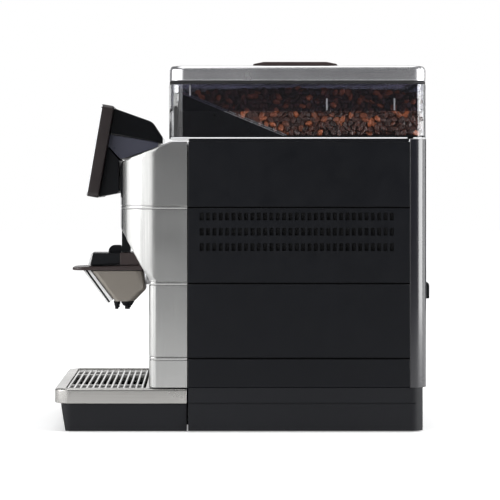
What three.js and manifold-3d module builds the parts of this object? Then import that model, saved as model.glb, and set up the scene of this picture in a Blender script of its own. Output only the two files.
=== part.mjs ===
// A professional bean-to-cup espresso machine, as separate named parts.
// Millimetres. The front faces -Y, +X is the machine's right-hand side, +Z is up, and the feet stand on Z = 0.

import * as THREE from "three";
import { mergeVertices } from "three/addons/utils/BufferGeometryUtils.js";
import Module from "manifold-3d";

const wasm = await Module();
wasm.setup();

// ---- Driving dimensions -------------------------------------------------------------------------------------

const WIDTH = 320; // over the side panels
const HALF = WIDTH / 2;
const GAP = 0.3; // between pieces that touch
const WALL = 2.5; // side panels and shells
const BODY_FRONT = -78; // front edge of the side panels
const BODY_BACK = 234; // where the side panels meet the rear posts
const REAR = 258.8; // rearmost face of the posts
const BASE_TOP = 62; // top of the base housing
const BODY_TOP = 408; // top of the side panels
const DOOR_BACK = -79.5; // rear face of the front door
const COLUMN_FRONT = -133; // front of the door below the spout
const HEAD_FRONT = -175; // front of the door above the spout
const HEAD_TOP = 408; // highest point of the door
const HOPPER_FRONT = -105;
const HOPPER_BACK = 258.2;
const HOPPER_FLOOR = 412;
const HOPPER_TOP = 489;
const LID_BASE = 493.7;
const LID_EDGE = 514.6;
const SEAMS = [103.2, 208.6, 315.4]; // heights of the horizontal seams in the side panels
const TRAY_FRONT = -266.6;
const TRAY_TOP = 60.8;
const TRAY_RIM = 21; // height of the silver rim
const SPOUT_HALF = 36; // half width of the spout body

const LOOKS = {
  blackPlastic: { color: 0x222428, roughness: 0.5, metalness: 0 },
  blackGloss: { color: 0x0e1012, roughness: 0.12, metalness: 0 },
  greyPlastic: { color: 0x30323a, roughness: 0.4, metalness: 0 },
  silver: { color: 0xa9a8a5, roughness: 0.35, metalness: 0.9 },
  steel: { color: 0xc2c3c5, roughness: 0.2, metalness: 1 },
  chrome: { color: 0xe2e4e6, roughness: 0.06, metalness: 1 },
  taupe: { color: 0x978f84, roughness: 0.4, metalness: 0.3 },
  brownPlastic: { color: 0x3b302f, roughness: 0.45, metalness: 0 },
  clear: { color: 0xdfe6ea, roughness: 0.05, metalness: 0 },
  smoked: { color: 0x2b2d31, roughness: 0.1, metalness: 0 },
  beans: { color: 0x5a352c, roughness: 0.5, metalness: 0 },
  rubber: { color: 0x17181a, roughness: 0.9, metalness: 0 },
  brass: { color: 0xb08d4a, roughness: 0.3, metalness: 1 },
  board: { color: 0x1f5a3a, roughness: 0.6, metalness: 0 },
  whitePlastic: { color: 0xd8d8d4, roughness: 0.5, metalness: 0 },
};

const machine = new THREE.Group();

// ---- Helpers ------------------------------------------------------------------------------------------------

/** Turns a closed three.js geometry into a manifold solid. */
function solid(geometry) {
  geometry.deleteAttribute("normal");
  geometry.deleteAttribute("uv");
  const merged = mergeVertices(geometry, 1e-4);
  return new wasm.Manifold(
    new wasm.Mesh({
      numProp: 3,
      vertProperties: new Float32Array(merged.attributes.position.array),
      triVerts: new Uint32Array(merged.index.array),
    }),
  );
}

/** Turns a manifold solid back into a geometry. */
function geometryOf(body) {
  const mesh = body.getMesh();
  const geometry = new THREE.BufferGeometry();
  geometry.setAttribute("position", new THREE.Float32BufferAttribute(mesh.vertProperties, 3));
  geometry.setIndex(new THREE.Uint32BufferAttribute(mesh.triVerts, 1));
  geometry.computeVertexNormals();
  return geometry;
}

/** Adds a named part to the machine. */
function part(name, body, look) {
  const mesh = new THREE.Mesh(geometryOf(body), new THREE.MeshStandardMaterial(LOOKS[look]));
  mesh.name = name;
  machine.add(mesh);
}

/** A box between two corners. */
function block(x0, x1, y0, y1, z0, z1) {
  const geometry = new THREE.BoxGeometry(x1 - x0, y1 - y0, z1 - z0);
  geometry.translate((x0 + x1) / 2, (y0 + y1) / 2, (z0 + z1) / 2);
  return solid(geometry);
}

/** A plan outline in X and Y, extruded from z0 up to z1. */
function upright(shape, z0, z1, curveSegments = 5) {
  const geometry = new THREE.ExtrudeGeometry(shape, { depth: z1 - z0, bevelEnabled: false, curveSegments });
  geometry.translate(0, 0, z0);
  return solid(geometry);
}

/** A side outline in Y and Z, extruded across the machine from x0 to x1. */
function across(shape, x0, x1, curveSegments = 5) {
  const geometry = new THREE.ExtrudeGeometry(shape, { depth: x1 - x0, bevelEnabled: false, curveSegments });
  geometry.applyMatrix4(new THREE.Matrix4().set(0, 0, 1, x0, 1, 0, 0, 0, 0, 1, 0, 0, 0, 0, 0, 1));
  return solid(geometry);
}

/** A closed outline through the given points. */
function outline(points) {
  return new THREE.Shape(points.map(([a, b]) => new THREE.Vector2(a, b)));
}

/** A rectangle with round corners; the four radii start at the low-low corner and go anticlockwise. */
function rounded(a0, a1, b0, b1, radii) {
  const [r00, r10, r11, r01] = Array.isArray(radii) ? radii : [radii, radii, radii, radii];
  const shape = new THREE.Shape();
  shape.moveTo(a0 + r00, b0);
  shape.lineTo(a1 - r10, b0);
  if (r10) shape.absarc(a1 - r10, b0 + r10, r10, -Math.PI / 2, 0, false);
  shape.lineTo(a1, b1 - r11);
  if (r11) shape.absarc(a1 - r11, b1 - r11, r11, 0, Math.PI / 2, false);
  shape.lineTo(a0 + r01, b1);
  if (r01) shape.absarc(a0 + r01, b1 - r01, r01, Math.PI / 2, Math.PI, false);
  shape.lineTo(a0, b0 + r00);
  if (r00) shape.absarc(a0 + r00, b0 + r00, r00, Math.PI, Math.PI * 1.5, false);
  return shape;
}

/** A cylinder along one axis, from `start` for `length`. */
function rod(axis, start, length, radius, segments = 20, endRadius = radius) {
  const geometry = new THREE.CylinderGeometry(endRadius, radius, length, segments);
  geometry.translate(0, length / 2, 0);
  if (axis === "x") geometry.rotateZ(-Math.PI / 2);
  if (axis === "z") geometry.rotateX(Math.PI / 2);
  geometry.translate(...start);
  return solid(geometry);
}

/** A hose through the given points. */
function hose(points, radius) {
  const path = new THREE.CatmullRomCurve3(points.map((p) => new THREE.Vector3(...p)));
  const section = new THREE.Shape();
  section.absarc(0, 0, radius, 0, Math.PI * 2, false);
  return solid(new THREE.ExtrudeGeometry(section, { steps: 24, extrudePath: path, curveSegments: 5 }));
}

/** Joins several solids. */
function join(first, ...others) {
  return others.reduce((sum, next) => sum.add(next), first);
}

/** Cuts several solids out of the first. */
function cut(first, ...others) {
  return others.reduce((sum, next) => sum.subtract(next), first);
}

/** Runs a builder for the right side (+1) and the left side (-1). */
function bothSides(build) {
  build(1, "right");
  build(-1, "left");
}

/** A block whose X extent runs from `inner` to `outer` on the given side. */
function sideBlock(side, inner, outer, y0, y1, z0, z1) {
  return block(Math.min(side * inner, side * outer), Math.max(side * inner, side * outer), y0, y1, z0, z1);
}

// ---- Base and feet ------------------------------------------------------------------------------------------

const FOOT_HEIGHT = 5;
const BASE_BACK = 253.5;
const TONGUE_TOP = 11; // the flat tongue that carries the drip tray
const TONGUE_HALF = 128;
const TONGUE_FRONT = -236;

function base() {
  const plan = rounded(-HALF, HALF, BODY_FRONT, BASE_BACK, [0, 0, 18, 18]);
  const hollow = block(-HALF + 6, HALF - 6, BODY_FRONT + 6, BASE_BACK - 8, 12, BASE_TOP + 1);
  const tongue = block(-TONGUE_HALF, TONGUE_HALF, TONGUE_FRONT, BODY_FRONT + 2, 6.5, TONGUE_TOP);
  let body = join(upright(plan, 1.5, BASE_TOP), tongue);
  body = cut(body, hollow);
  for (const side of [1, -1]) {
    body = body.subtract(sideBlock(side, HALF - 1.2, HALF + 1, BODY_FRONT - 1, BASE_BACK + 1, 39.3, 41.3));
  }
  for (const [x, y] of FEET) {
    body = body.subtract(block(x - 17, x + 17, y - 17, y + 17, -1, FOOT_HEIGHT + 2.2));
  }
  part("base_housing", body, "blackPlastic");
}

const FEET = [
  [108, -205],
  [-108, -205],
  [108, 215],
  [-108, 215],
];

function feet() {
  const names = ["foot_front_right", "foot_front_left", "foot_rear_right", "foot_rear_left"];
  FEET.forEach(([x, y], index) => {
    const pad = rod("z", [x, y, 0], FOOT_HEIGHT + 2.2 - GAP, 15, 24);
    part(names[index], pad, "rubber");
  });
}

// ---- Body panels --------------------------------------------------------------------------------------------

const SLOT_ROWS = [302.8, 281.4, 259.8]; // centre heights of the three vent rows
const SLOTS = 31;
const SLOT_PITCH = 8.9;
const SLOT_WIDTH = 5.4;
const SLOT_HEIGHT = 10.5;
const FIRST_SLOT = -58.8;

function sidePanels() {
  bothSides((side, name) => {
    let panel = sideBlock(side, HALF - WALL, HALF, BODY_FRONT, BODY_BACK - GAP, BASE_TOP + GAP, BODY_TOP);
    for (const seam of SEAMS) {
      const groove = sideBlock(side, HALF - 1.4, HALF + 1, BODY_FRONT - 1, BODY_BACK + 1, seam - 1.9, seam + 1.9);
      panel = panel.subtract(groove);
    }
    for (const row of SLOT_ROWS) {
      for (let index = 0; index < SLOTS; index += 1) {
        const centre = FIRST_SLOT + index * SLOT_PITCH;
        const low = row - SLOT_HEIGHT / 2;
        const front = centre - SLOT_WIDTH / 2;
        const slot = sideBlock(side, HALF - 4, HALF + 1, front, front + SLOT_WIDTH, low, low + SLOT_HEIGHT);
        panel = panel.subtract(slot);
      }
    }
    part(`side_panel_${name}`, panel, "blackPlastic");
  });
}

function rearPosts() {
  bothSides((side, name) => {
    const plan = (inner, outer, front, back, radius) =>
      side > 0
        ? rounded(inner, outer, front, back, [0, 0, radius, 0])
        : rounded(-outer, -inner, front, back, [0, 0, 0, radius]);
    const skin = upright(plan(HALF - 22, HALF, BODY_BACK, REAR, 22), BASE_TOP + GAP, HOPPER_FLOOR - GAP);
    const channel = upright(plan(HALF - 23, HALF - 4, BODY_BACK - 1, REAR - 4, 18), 0, HOPPER_FLOOR);
    const post = skin.subtract(channel);
    part(`rear_post_${name}`, post, "blackPlastic");
  });
}

const REAR_FACE = 254.5;
const FAN = { x: -70, z: 250, radius: 42 };
const SWITCH = { x: 95, z: 197 };
const INLET = { x: 95, z: 119.5 };

function rearPanel() {
  const edge = HALF - 22 - GAP;
  let panel = block(-edge, edge, REAR_FACE - 2, REAR_FACE, BASE_TOP + GAP, BODY_TOP);
  for (let row = -3; row <= 3; row += 1) {
    const half = Math.sqrt(FAN.radius ** 2 - (row * 12) ** 2) - 2;
    const z = FAN.z + row * 12;
    panel = panel.subtract(block(FAN.x - half, FAN.x + half, REAR_FACE - 4, REAR_FACE + 1, z - 3, z + 3));
  }
  const holeThrough = ({ x, z }, half) => block(x - half, x + half, REAR_FACE - 4, REAR_FACE + 1, z - 9, z + 9);
  const switchHole = holeThrough(SWITCH, 11);
  const inletHole = holeThrough(INLET, 12.5);
  const nub = rod("y", [SWITCH.x, REAR_FACE - 1, 170], 5, 4, 16);
  part("rear_panel", cut(panel, switchHole, inletHole).add(nub), "greyPlastic");
}

function rearFittings() {
  const hoodProfile = rounded(REAR_FACE + GAP, 266.6, 184.6, 208.8, [0, 0, 6, 0]);
  const hood = across(hoodProfile, SWITCH.x - 15, SWITCH.x + 15);
  const opening = block(SWITCH.x - 10.5, SWITCH.x + 10.5, 240, 270, SWITCH.z - 8.5, SWITCH.z + 8.5);
  const collar = block(SWITCH.x - 10.5, SWITCH.x + 10.5, 244, REAR_FACE + 1, SWITCH.z - 8.5, SWITCH.z + 8.5);
  const well = block(SWITCH.x - 8.5, SWITCH.x + 8.5, 245.5, 270, SWITCH.z - 7, SWITCH.z + 7);
  part("switch_housing", cut(join(cut(hood, opening), collar), well), "blackPlastic");

  const rockerProfile = outline([
    [-4.5, -5.6],
    [3, -5.6],
    [1.6, 0],
    [3, 5.6],
    [-4.5, 5.6],
  ]);
  const rocker = across(rockerProfile, SWITCH.x - 7.6, SWITCH.x + 7.6).translate([0, 256.5, SWITCH.z]);
  part("power_switch", rocker, "brownPlastic");

  const flange = block(INLET.x - 16, INLET.x + 16, REAR_FACE + GAP, 261.4, INLET.z - 8.5, INLET.z + 8.5);
  const barrel = block(INLET.x - 12, INLET.x + 12, 236, REAR_FACE + 1, INLET.z - 8.5, INLET.z + 8.5);
  const socket = block(INLET.x - 9.5, INLET.x + 9.5, 240, 265, INLET.z - 6, INLET.z + 6);
  let inlet = cut(join(flange, barrel), socket);
  for (const offset of [-5, 0, 5]) {
    inlet = inlet.add(block(INLET.x + offset - 1, INLET.x + offset + 1, 239, 252, INLET.z - 2, INLET.z + 2));
  }
  part("power_inlet", inlet, "taupe");
}

/** The front wall of the body, behind the door, open where the brew unit and grounds container sit. */
const SERVICE = { x0: -66, x1: 95, z0: 65, z1: 300 };
const TANK = { x0: -151, x1: -76, y0: -72, y1: 190, z0: 66, z1: 240 };

function bulkhead() {
  const inside = HALF - WALL - GAP;
  const wall = block(-inside, inside, BODY_FRONT, BODY_FRONT + 3, BASE_TOP + GAP, BODY_TOP);
  const mouth = block(SERVICE.x0, SERVICE.x1, BODY_FRONT - 1, BODY_FRONT + 4, SERVICE.z0, SERVICE.z1);
  const tankMouth = block(TANK.x0 - 1, TANK.x1 + 1, BODY_FRONT - 1, BODY_FRONT + 4, TANK.z0 - 1, TANK.z1 + 2);
  part("front_bulkhead", cut(wall, mouth, tankMouth), "greyPlastic");
}

function deck() {
  const plan = rounded(-HALF + 1, HALF - 1, BODY_FRONT + 1, BODY_BACK - 1, 2);
  const strip = upright(plan, BODY_TOP + GAP, HOPPER_FLOOR - GAP);
  const throat = rod("z", [GRINDER.x, GRINDER.y, BODY_TOP - 2], 8, 26, 32);
  part("deck_plate", strip.subtract(throat), "greyPlastic");
}

// ---- Hopper, beans and lid ----------------------------------------------------------------------------------

const HOPPER_WALL = 3;
const LIP_FLOOR = 416.6; // the flat floor of the funnel tray
const CORNER = 22;
const GRINDER = { x: 20, y: 110 };
const FUNNEL_TOP = { y: -91.5, z: 477 };
const FUNNEL_END = { y: 54, z: LIP_FLOOR };
const LINER_LOW = 451;

function hopperPlan(inset) {
  const radius = CORNER - inset;
  return rounded(-HALF + inset, HALF - inset, HOPPER_FRONT + inset, HOPPER_BACK - inset, radius);
}

function hopper() {
  const inner = upright(hopperPlan(HOPPER_WALL), HOPPER_FLOOR + 2, HOPPER_TOP + 1);
  const throat = rod("z", [GRINDER.x, GRINDER.y, HOPPER_FLOOR - 1], 5, 25, 32);
  const shell = cut(upright(hopperPlan(0), HOPPER_FLOOR, HOPPER_TOP), inner, throat);
  part("hopper_shell", shell, "clear");

  const linerInset = HOPPER_WALL + GAP;
  const linerHole = upright(hopperPlan(linerInset + 1.5), LINER_LOW - 1, HOPPER_TOP + 1);
  const liner = upright(hopperPlan(linerInset), LINER_LOW, HOPPER_TOP - GAP).subtract(linerHole);
  part("hopper_liner", liner, "smoked");

  const rimHole = upright(hopperPlan(5), HOPPER_TOP - 1, LID_BASE + 1);
  const rim = upright(hopperPlan(0.6), HOPPER_TOP + GAP, LID_BASE - GAP).subtract(rimHole);
  part("hopper_rim", rim, "rubber");
}

/** The black tray inside the hopper: a slope from the front down to a flat floor over the grinder. */
function funnelTray() {
  const inset = HOPPER_WALL + GAP + 1.5 + GAP;
  const profile = outline([
    [FUNNEL_TOP.y - 6, HOPPER_FLOOR + 2 + GAP],
    [HOPPER_BACK - inset, HOPPER_FLOOR + 2 + GAP],
    [HOPPER_BACK - inset, FUNNEL_END.z],
    [FUNNEL_END.y, FUNNEL_END.z],
    [FUNNEL_TOP.y, FUNNEL_TOP.z],
    [FUNNEL_TOP.y - 6, FUNNEL_TOP.z],
  ]);
  const hollowProfile = outline([
    [FUNNEL_TOP.y - 3.4, HOPPER_FLOOR],
    [FUNNEL_END.y - 9, HOPPER_FLOOR],
    [FUNNEL_TOP.y - 3.4, FUNNEL_TOP.z - 4.5],
  ]);
  const limits = upright(hopperPlan(inset), HOPPER_FLOOR, HOPPER_TOP);
  const tray = across(profile, -HALF + inset, HALF - inset).intersect(limits);
  const hollow = across(hollowProfile, -HALF + inset + 2.5, HALF - inset - 2.5);
  const throat = rod("z", [GRINDER.x, GRINDER.y, HOPPER_FLOOR - 1], 9, 25, 32);
  part("hopper_funnel", cut(tray, hollow, throat), "blackPlastic");
}

/** The bean charge, as one solid that follows the tray and has a shallow heaped top. */
function beanCharge() {
  const inset = HOPPER_WALL + GAP + 1.5 + 2 * GAP;
  const shape = new THREE.Shape();
  shape.moveTo(FUNNEL_END.y + 0.5, FUNNEL_END.z + GAP);
  shape.lineTo(HOPPER_BACK - inset, FUNNEL_END.z + GAP);
  shape.lineTo(HOPPER_BACK - inset, 476);
  shape.quadraticCurveTo(90, 492, FUNNEL_TOP.y + 1, FUNNEL_TOP.z + 0.7);
  const limits = upright(hopperPlan(inset), HOPPER_FLOOR, HOPPER_TOP);
  const plug = rod("z", [GRINDER.x, GRINDER.y, HOPPER_FLOOR + 0.5], 8, 23, 24);
  part("coffee_beans", across(shape, -HALF + inset, HALF - inset, 10).intersect(limits).add(plug), "beans");
}

const HANDLE = { centre: 79, half: 62.5, halfWidth: 15 };
const SCOOP_FLOOR = LID_EDGE - 6; // the finger scoop under the handle

function lid() {
  const levels = [
    { inset: 0.4, z0: LID_BASE, z1: LID_EDGE - 3.6 },
    { inset: 3.2, z0: LID_EDGE - 4, z1: LID_EDGE },
  ];
  const steps = levels.map(({ inset, z0, z1 }) => upright(hopperPlan(inset), z0, z1));
  const crown = across(
    outline([
      [HOPPER_FRONT + 24, LID_EDGE - 1],
      [HOPPER_BACK - 24, LID_EDGE - 1],
      [HOPPER_BACK - 24, LID_EDGE],
      [HANDLE.centre + 75, LID_EDGE + 3],
      [HANDLE.centre - 75, LID_EDGE + 3],
      [HOPPER_FRONT + 24, LID_EDGE],
    ]),
    -HALF + 40,
    HALF - 40,
  );
  const { centre, half, halfWidth } = HANDLE;
  const ramps = [1, -1].map((end) => {
    const seat = centre + end * (half - 14);
    const profile = [
      [seat, LID_EDGE - 6],
      [centre + end * (half + 16), LID_EDGE],
      [centre + end * (half + 12), LID_EDGE + 3],
      [centre + end * (half + 1), LID_EDGE + 8.8],
      [seat, LID_EDGE + 8.8],
    ];
    return across(outline(end > 0 ? profile : profile.reverse()), -halfWidth - 1, halfWidth + 1);
  });
  const scoopHalf = half - 14;
  const scoop = block(
    -halfWidth - 14,
    halfWidth + 14,
    centre - scoopHalf,
    centre + scoopHalf,
    SCOOP_FLOOR,
    LID_EDGE + 20,
  );
  const hollow = upright(hopperPlan(4), LID_BASE - 1, LID_EDGE - 9);
  const corePlan = rounded(-halfWidth - 17, halfWidth + 17, centre - half + 10, centre + half - 10, 4);
  const core = upright(corePlan, LID_BASE + 3, LID_EDGE);
  part("hopper_lid", cut(join(cut(join(...steps, crown), hollow), core, ...ramps), scoop), "silver");

  const profile = new THREE.Shape();
  profile.moveTo(centre - half, LID_EDGE + 9);
  profile.lineTo(centre + half, LID_EDGE + 9);
  profile.quadraticCurveTo(centre + half - 6, LID_EDGE + 14.2, centre + half - 22, LID_EDGE + 14.4);
  profile.lineTo(centre - half + 22, LID_EDGE + 14.4);
  profile.quadraticCurveTo(centre - half + 6, LID_EDGE + 14.2, centre - half, LID_EDGE + 9.1);
  part("lid_handle", across(profile, -halfWidth, halfWidth), "brownPlastic");
}

// ---- Front door ---------------------------------------------------------------------------------------------

const DOOR_BASE = 62.5;
const NOSE = { y: HEAD_FRONT, low: 286.6, high: 380 }; // the upright face of the head
const UNDERCUT = { y: COLUMN_FRONT + 2.5, z: 211.7 }; // where the slanted underside meets the column
const SHELL_EDGE = 127; // the silver shells reach in this far from the sides
const CORNER_START = -122; // the sides are flat behind this
const SPOUT_SLOT = { half: 24, low: 88, high: 296 };

/** The door's side outline, moved inwards by `inset`. */
function doorProfile(inset) {
  const shape = new THREE.Shape();
  const front = COLUMN_FRONT + inset;
  shape.moveTo(DOOR_BACK - inset, DOOR_BASE + inset);
  shape.lineTo(front, DOOR_BASE + inset);
  shape.lineTo(front, UNDERCUT.z - 6 + inset * 0.3);
  shape.quadraticCurveTo(front, UNDERCUT.z + inset * 0.3, UNDERCUT.y + inset, UNDERCUT.z + 4 + inset * 0.3);
  shape.lineTo(NOSE.y + 3 + inset, NOSE.low - 5 + inset * 0.3);
  shape.quadraticCurveTo(NOSE.y + inset, NOSE.low + inset * 0.3, NOSE.y + inset, NOSE.low + 6);
  shape.lineTo(NOSE.y + inset, NOSE.high - inset);
  shape.quadraticCurveTo(NOSE.y + inset, NOSE.high + 5 - inset, NOSE.y + 8 + inset, NOSE.high + 6 - inset);
  shape.lineTo(-104, HEAD_TOP - 1.5 - inset);
  shape.quadraticCurveTo(-100, HEAD_TOP - inset, -96, HEAD_TOP - inset);
  shape.lineTo(DOOR_BACK - inset, HEAD_TOP - inset);
  return shape;
}

/** The door's plan outline, with large round front corners. */
function doorPlan(inset) {
  const radius = CORNER_START - HEAD_FRONT;
  const side = HALF - inset;
  return rounded(-side, side, HEAD_FRONT + inset, DOOR_BACK, [radius, radius, 0, 0]);
}

function doorBlank(inset) {
  return across(doorProfile(inset), -HALF, HALF, 4).intersect(upright(doorPlan(inset), 0, BODY_TOP + 10, 10));
}

function door() {
  const outer = doorBlank(0);
  const inner = doorBlank(WALL).add(block(-HALF + 8, HALF - 8, DOOR_BACK - 6, DOOR_BACK + 1, 72, 398));
  const skin = outer.subtract(inner);
  bothSides((side, name) => {
    let shell = skin.intersect(sideBlock(side, SHELL_EDGE, HALF + 1, -200, -60, 0, 420));
    for (const seam of SEAMS) {
      for (const offset of [-3.1, 3.1]) {
        const z = seam + offset;
        shell = shell.subtract(sideBlock(side, HALF - 0.8, HALF + 1, CORNER_START + 2, -60, z - 0.7, z + 0.7));
      }
    }
    part(`door_shell_${name}`, shell, "silver");
  });

  const reach = SHELL_EDGE - GAP;
  const slot = block(-SPOUT_SLOT.half, SPOUT_SLOT.half, -180, -100, SPOUT_SLOT.low, SPOUT_SLOT.high);
  const neckHole = block(-18, 18, -166, -130, 370, 415);
  const upper = skin.intersect(block(-reach, reach, -200, -60, UNDERCUT.z + 12, 420));
  const lower = skin.intersect(block(-reach, reach, -200, -60, 0, UNDERCUT.z + 12 - GAP));
  part("door_front_panel", cut(upper, slot, neckHole), "blackGloss");
  part("door_splash_panel", lower.subtract(slot), "steel");
}

/** The slide rail inside the door that carries the spout. */
const RAIL = { y0: -106, y1: -98, half: 9 };

function spoutRail() {
  const rail = block(-RAIL.half, RAIL.half, RAIL.y0, RAIL.y1, 80, 300);
  const feetOfRail = [82, 292].map((z) => block(-20, 20, RAIL.y1 - 2, DOOR_BACK - 5 - GAP, z - 4, z + 4));
  part("spout_rail", join(rail, ...feetOfRail), "steel");
}

function doorInnerPanel() {
  const plate = block(-HALF + 9, HALF - 9, DOOR_BACK - 5, DOOR_BACK - 2.5, 73, 397);
  part("door_inner_panel", plate, "greyPlastic");
}

// ---- Display ------------------------------------------------------------------------------------------------

const DISPLAY = { half: 108, length: 133.7, thickness: 17.9, tilt: THREE.MathUtils.degToRad(9.7) };
const DISPLAY_FOOT = { y: -224.6, z: 331.4 }; // lower front edge

/** The Y of the plane just behind the tilted display, at height z. */
function behindDisplay(z) {
  const { thickness, tilt } = DISPLAY;
  const footY = DISPLAY_FOOT.y + (thickness + GAP) * Math.cos(tilt);
  const footZ = DISPLAY_FOOT.z - (thickness + GAP) * Math.sin(tilt);
  return footY + (z - footZ) * Math.tan(tilt);
}

/** Takes a solid built with Y as depth and Z as height, tilts it back and moves it to the display's foot. */
function displayPose(body) {
  const tilted = body.rotate([-THREE.MathUtils.radToDeg(DISPLAY.tilt), 0, 0]);
  return tilted.translate([0, DISPLAY_FOOT.y, DISPLAY_FOOT.z]);
}

function display() {
  const { half, length, thickness } = DISPLAY;
  const frame = block(-half, half, 0, thickness, 0, length);
  const seat = block(-half + 3, half - 3, -1, 3.2, 3, length - 3);
  part("display_frame", displayPose(frame.subtract(seat)), "brownPlastic");
  const glass = block(-half + 3 + GAP, half - 3 - GAP, 0.4, 3.2 - GAP, 3 + GAP, length - 3 - GAP);
  part("display_glass", displayPose(glass), "blackGloss");
}

/** The rear covers of the display, and the barrel between them that carries it on the door. */
function displayCovers() {
  const half = 92;
  const hoodShape = new THREE.Shape();
  hoodShape.moveTo(behindDisplay(457), 457);
  hoodShape.lineTo(-133, 438.5);
  hoodShape.quadraticCurveTo(-119.5, 430.5, -114.9, 415);
  hoodShape.lineTo(-114.9, 405.8);
  hoodShape.lineTo(-128, 409.8);
  hoodShape.lineTo(behindDisplay(420.4), 420.4);
  const hoodHollow = outline([
    [behindDisplay(450), 453],
    [-136, 435],
    [-121, 422],
    [-119.5, 404],
    [behindDisplay(412), 405],
  ]);
  const hood = across(hoodShape, -half, half).subtract(across(hoodHollow, -half + WALL, half - WALL));
  part("display_hood", hood, "blackGloss");

  const lowerShape = outline([
    [behindDisplay(402), 402],
    [behindDisplay(330), 330],
    [-178.2, 335.5],
    [-178.2, 383],
  ]);
  const lowerHollow = outline([
    [behindDisplay(410), 410],
    [behindDisplay(334), 334],
    [-181, 338.5],
    [-181, 390],
  ]);
  const lower = across(lowerShape, -half, half).subtract(across(lowerHollow, -half + WALL, half - WALL));
  part("display_lower_cover", lower, "blackPlastic");

  const barrelShape = outline([
    [behindDisplay(419.8), 419.8],
    [-128, 409.4],
    [-122, 407.6],
    [-122, 402.3],
    [-128, 399.8],
    [-165, 387.4],
    [-176, 384],
    [behindDisplay(402.6), 402.6],
  ]);
  const neck = block(-16, 16, -160, -134, 375, 400);
  part("display_pivot_barrel", across(barrelShape, -half + WALL + 1, half - WALL - 1).add(neck), "greyPlastic");
}

// ---- Spout --------------------------------------------------------------------------------------------------

const SPOUT_TOP = 221.4; // top face of the beige body
const SPOUT_FLOOR = 176.2;
const PLATE_TOP = 229.4; // the finger plate rises from front to back
const HOUSING_TOP = 247;

function spout() {
  const bodyShape = outline([
    [-221.2, SPOUT_TOP],
    [-187, SPOUT_FLOOR],
    [-157.6, SPOUT_FLOOR],
    [-141.6, 192.9],
    [-144.3, SPOUT_TOP],
  ]);
  const bodyPlan = rounded(-SPOUT_HALF, SPOUT_HALF, -221.2, -141.6, [7, 7, 12, 12]);
  const bodySolid = across(bodyShape, -SPOUT_HALF, SPOUT_HALF).intersect(upright(bodyPlan, 170, 230));
  const channel = block(-SPOUT_HALF + 6, SPOUT_HALF - 6, -178, -166, 170, 186);
  part("spout_body", bodySolid.subtract(channel), "taupe");

  const plateShape = outline([
    [-249.4, 223],
    [-247.4, SPOUT_TOP + GAP],
    [-145.4, SPOUT_TOP + GAP],
    [-145.4, PLATE_TOP],
    [-179, PLATE_TOP],
    [-247.4, 226.2],
    [-249.4, 225.2],
  ]);
  const plan = rounded(-SPOUT_HALF - 3, SPOUT_HALF + 3, -249.4, -145.4, [16, 16, 2, 2]);
  const plate = across(plateShape, -HALF, HALF).intersect(upright(plan, 200, 240));
  part("spout_finger_plate", plate, "brownPlastic");

  const cover = outline([
    [-226, 229.2],
    [-179 - GAP, 232.6],
    [-179 - GAP, HOUSING_TOP],
    [-221.4, HOUSING_TOP],
  ]);
  const plinth = outline([
    [-222, 227.8],
    [-179 - GAP, PLATE_TOP + GAP],
    [-179 - GAP, 236],
    [-222, 236],
  ]);
  const dome = across(rounded(-197, -177, HOUSING_TOP + 1, 258.2, [0, 0, 4, 9]), -9, 9);
  const domeFoot = block(-9, 9, -197, -179 - GAP, 240, HOUSING_TOP + 2);
  const riser = block(-20, 20, -179, -165, HOUSING_TOP + 1, 290);
  const pieces = [across(plinth, -28, 28), domeFoot, dome, riser];
  part("spout_top_housing", join(across(cover, -SPOUT_HALF + 2, SPOUT_HALF - 2), ...pieces), "blackPlastic");

  const rear = outline([
    [-179, PLATE_TOP + GAP],
    [-144.6, PLATE_TOP + GAP],
    [-144.6, 230.6],
    [-154.8, HOUSING_TOP + 0.5],
    [-179, HOUSING_TOP + 0.5],
  ]);
  part("spout_rear_cover", across(rear, -SPOUT_HALF + 1, SPOUT_HALF - 1), "brownPlastic");

  const stem = block(-RAIL.half - 5, RAIL.half + 5, -141.6 + GAP, RAIL.y1 - 1, 200, 219);
  const railHole = block(-RAIL.half - GAP, RAIL.half + GAP, RAIL.y0 - GAP, RAIL.y1 + 5, 190, 240);
  const ears = block(-RAIL.half - 5, RAIL.half + 5, RAIL.y0 - 4, RAIL.y1 - 1, 196, 228);
  part("spout_carriage", cut(join(stem, ears), railHole), "steel");

  const trimShape = outline([
    [-233, SPOUT_TOP],
    [-222.3, SPOUT_TOP],
    [-189.5, 178.2],
    [-195.9, 173.8],
    [-198, 173.8],
  ]);
  part("spout_front_trim", across(trimShape, -SPOUT_HALF + 4, SPOUT_HALF - 4), "chrome");
}

function nozzles() {
  const rows = [
    { name: "front", y: -184.4, top: 4.6, tip: 2.6 },
    { name: "rear", y: -168.6, top: 9.4, tip: 3.8 },
  ];
  const reach = 11.8;
  for (const row of rows) {
    bothSides((side, sideName) => {
      const floor = SPOUT_FLOOR - GAP - reach;
      const tip = rod("z", [side * 20, row.y, floor], reach, row.tip, 16, row.top);
      const bore = rod("z", [side * 20, row.y, floor - 1], reach - 1, 1.5, 12);
      part(`nozzle_${row.name}_${sideName}`, tip.subtract(bore), "blackPlastic");
    });
  }
}

// ---- Drip tray ----------------------------------------------------------------------------------------------

const TRAY_BACK = -80;
const RIM_BOTTOM = TRAY_TOP - TRAY_RIM;
const RIM_INSET = 12;
const LEDGE = 7; // the step in the rim's hole that carries the ends of the grate
const LEDGE_TOP = 51.5;
const PAN_FLOOR = 12;

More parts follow.
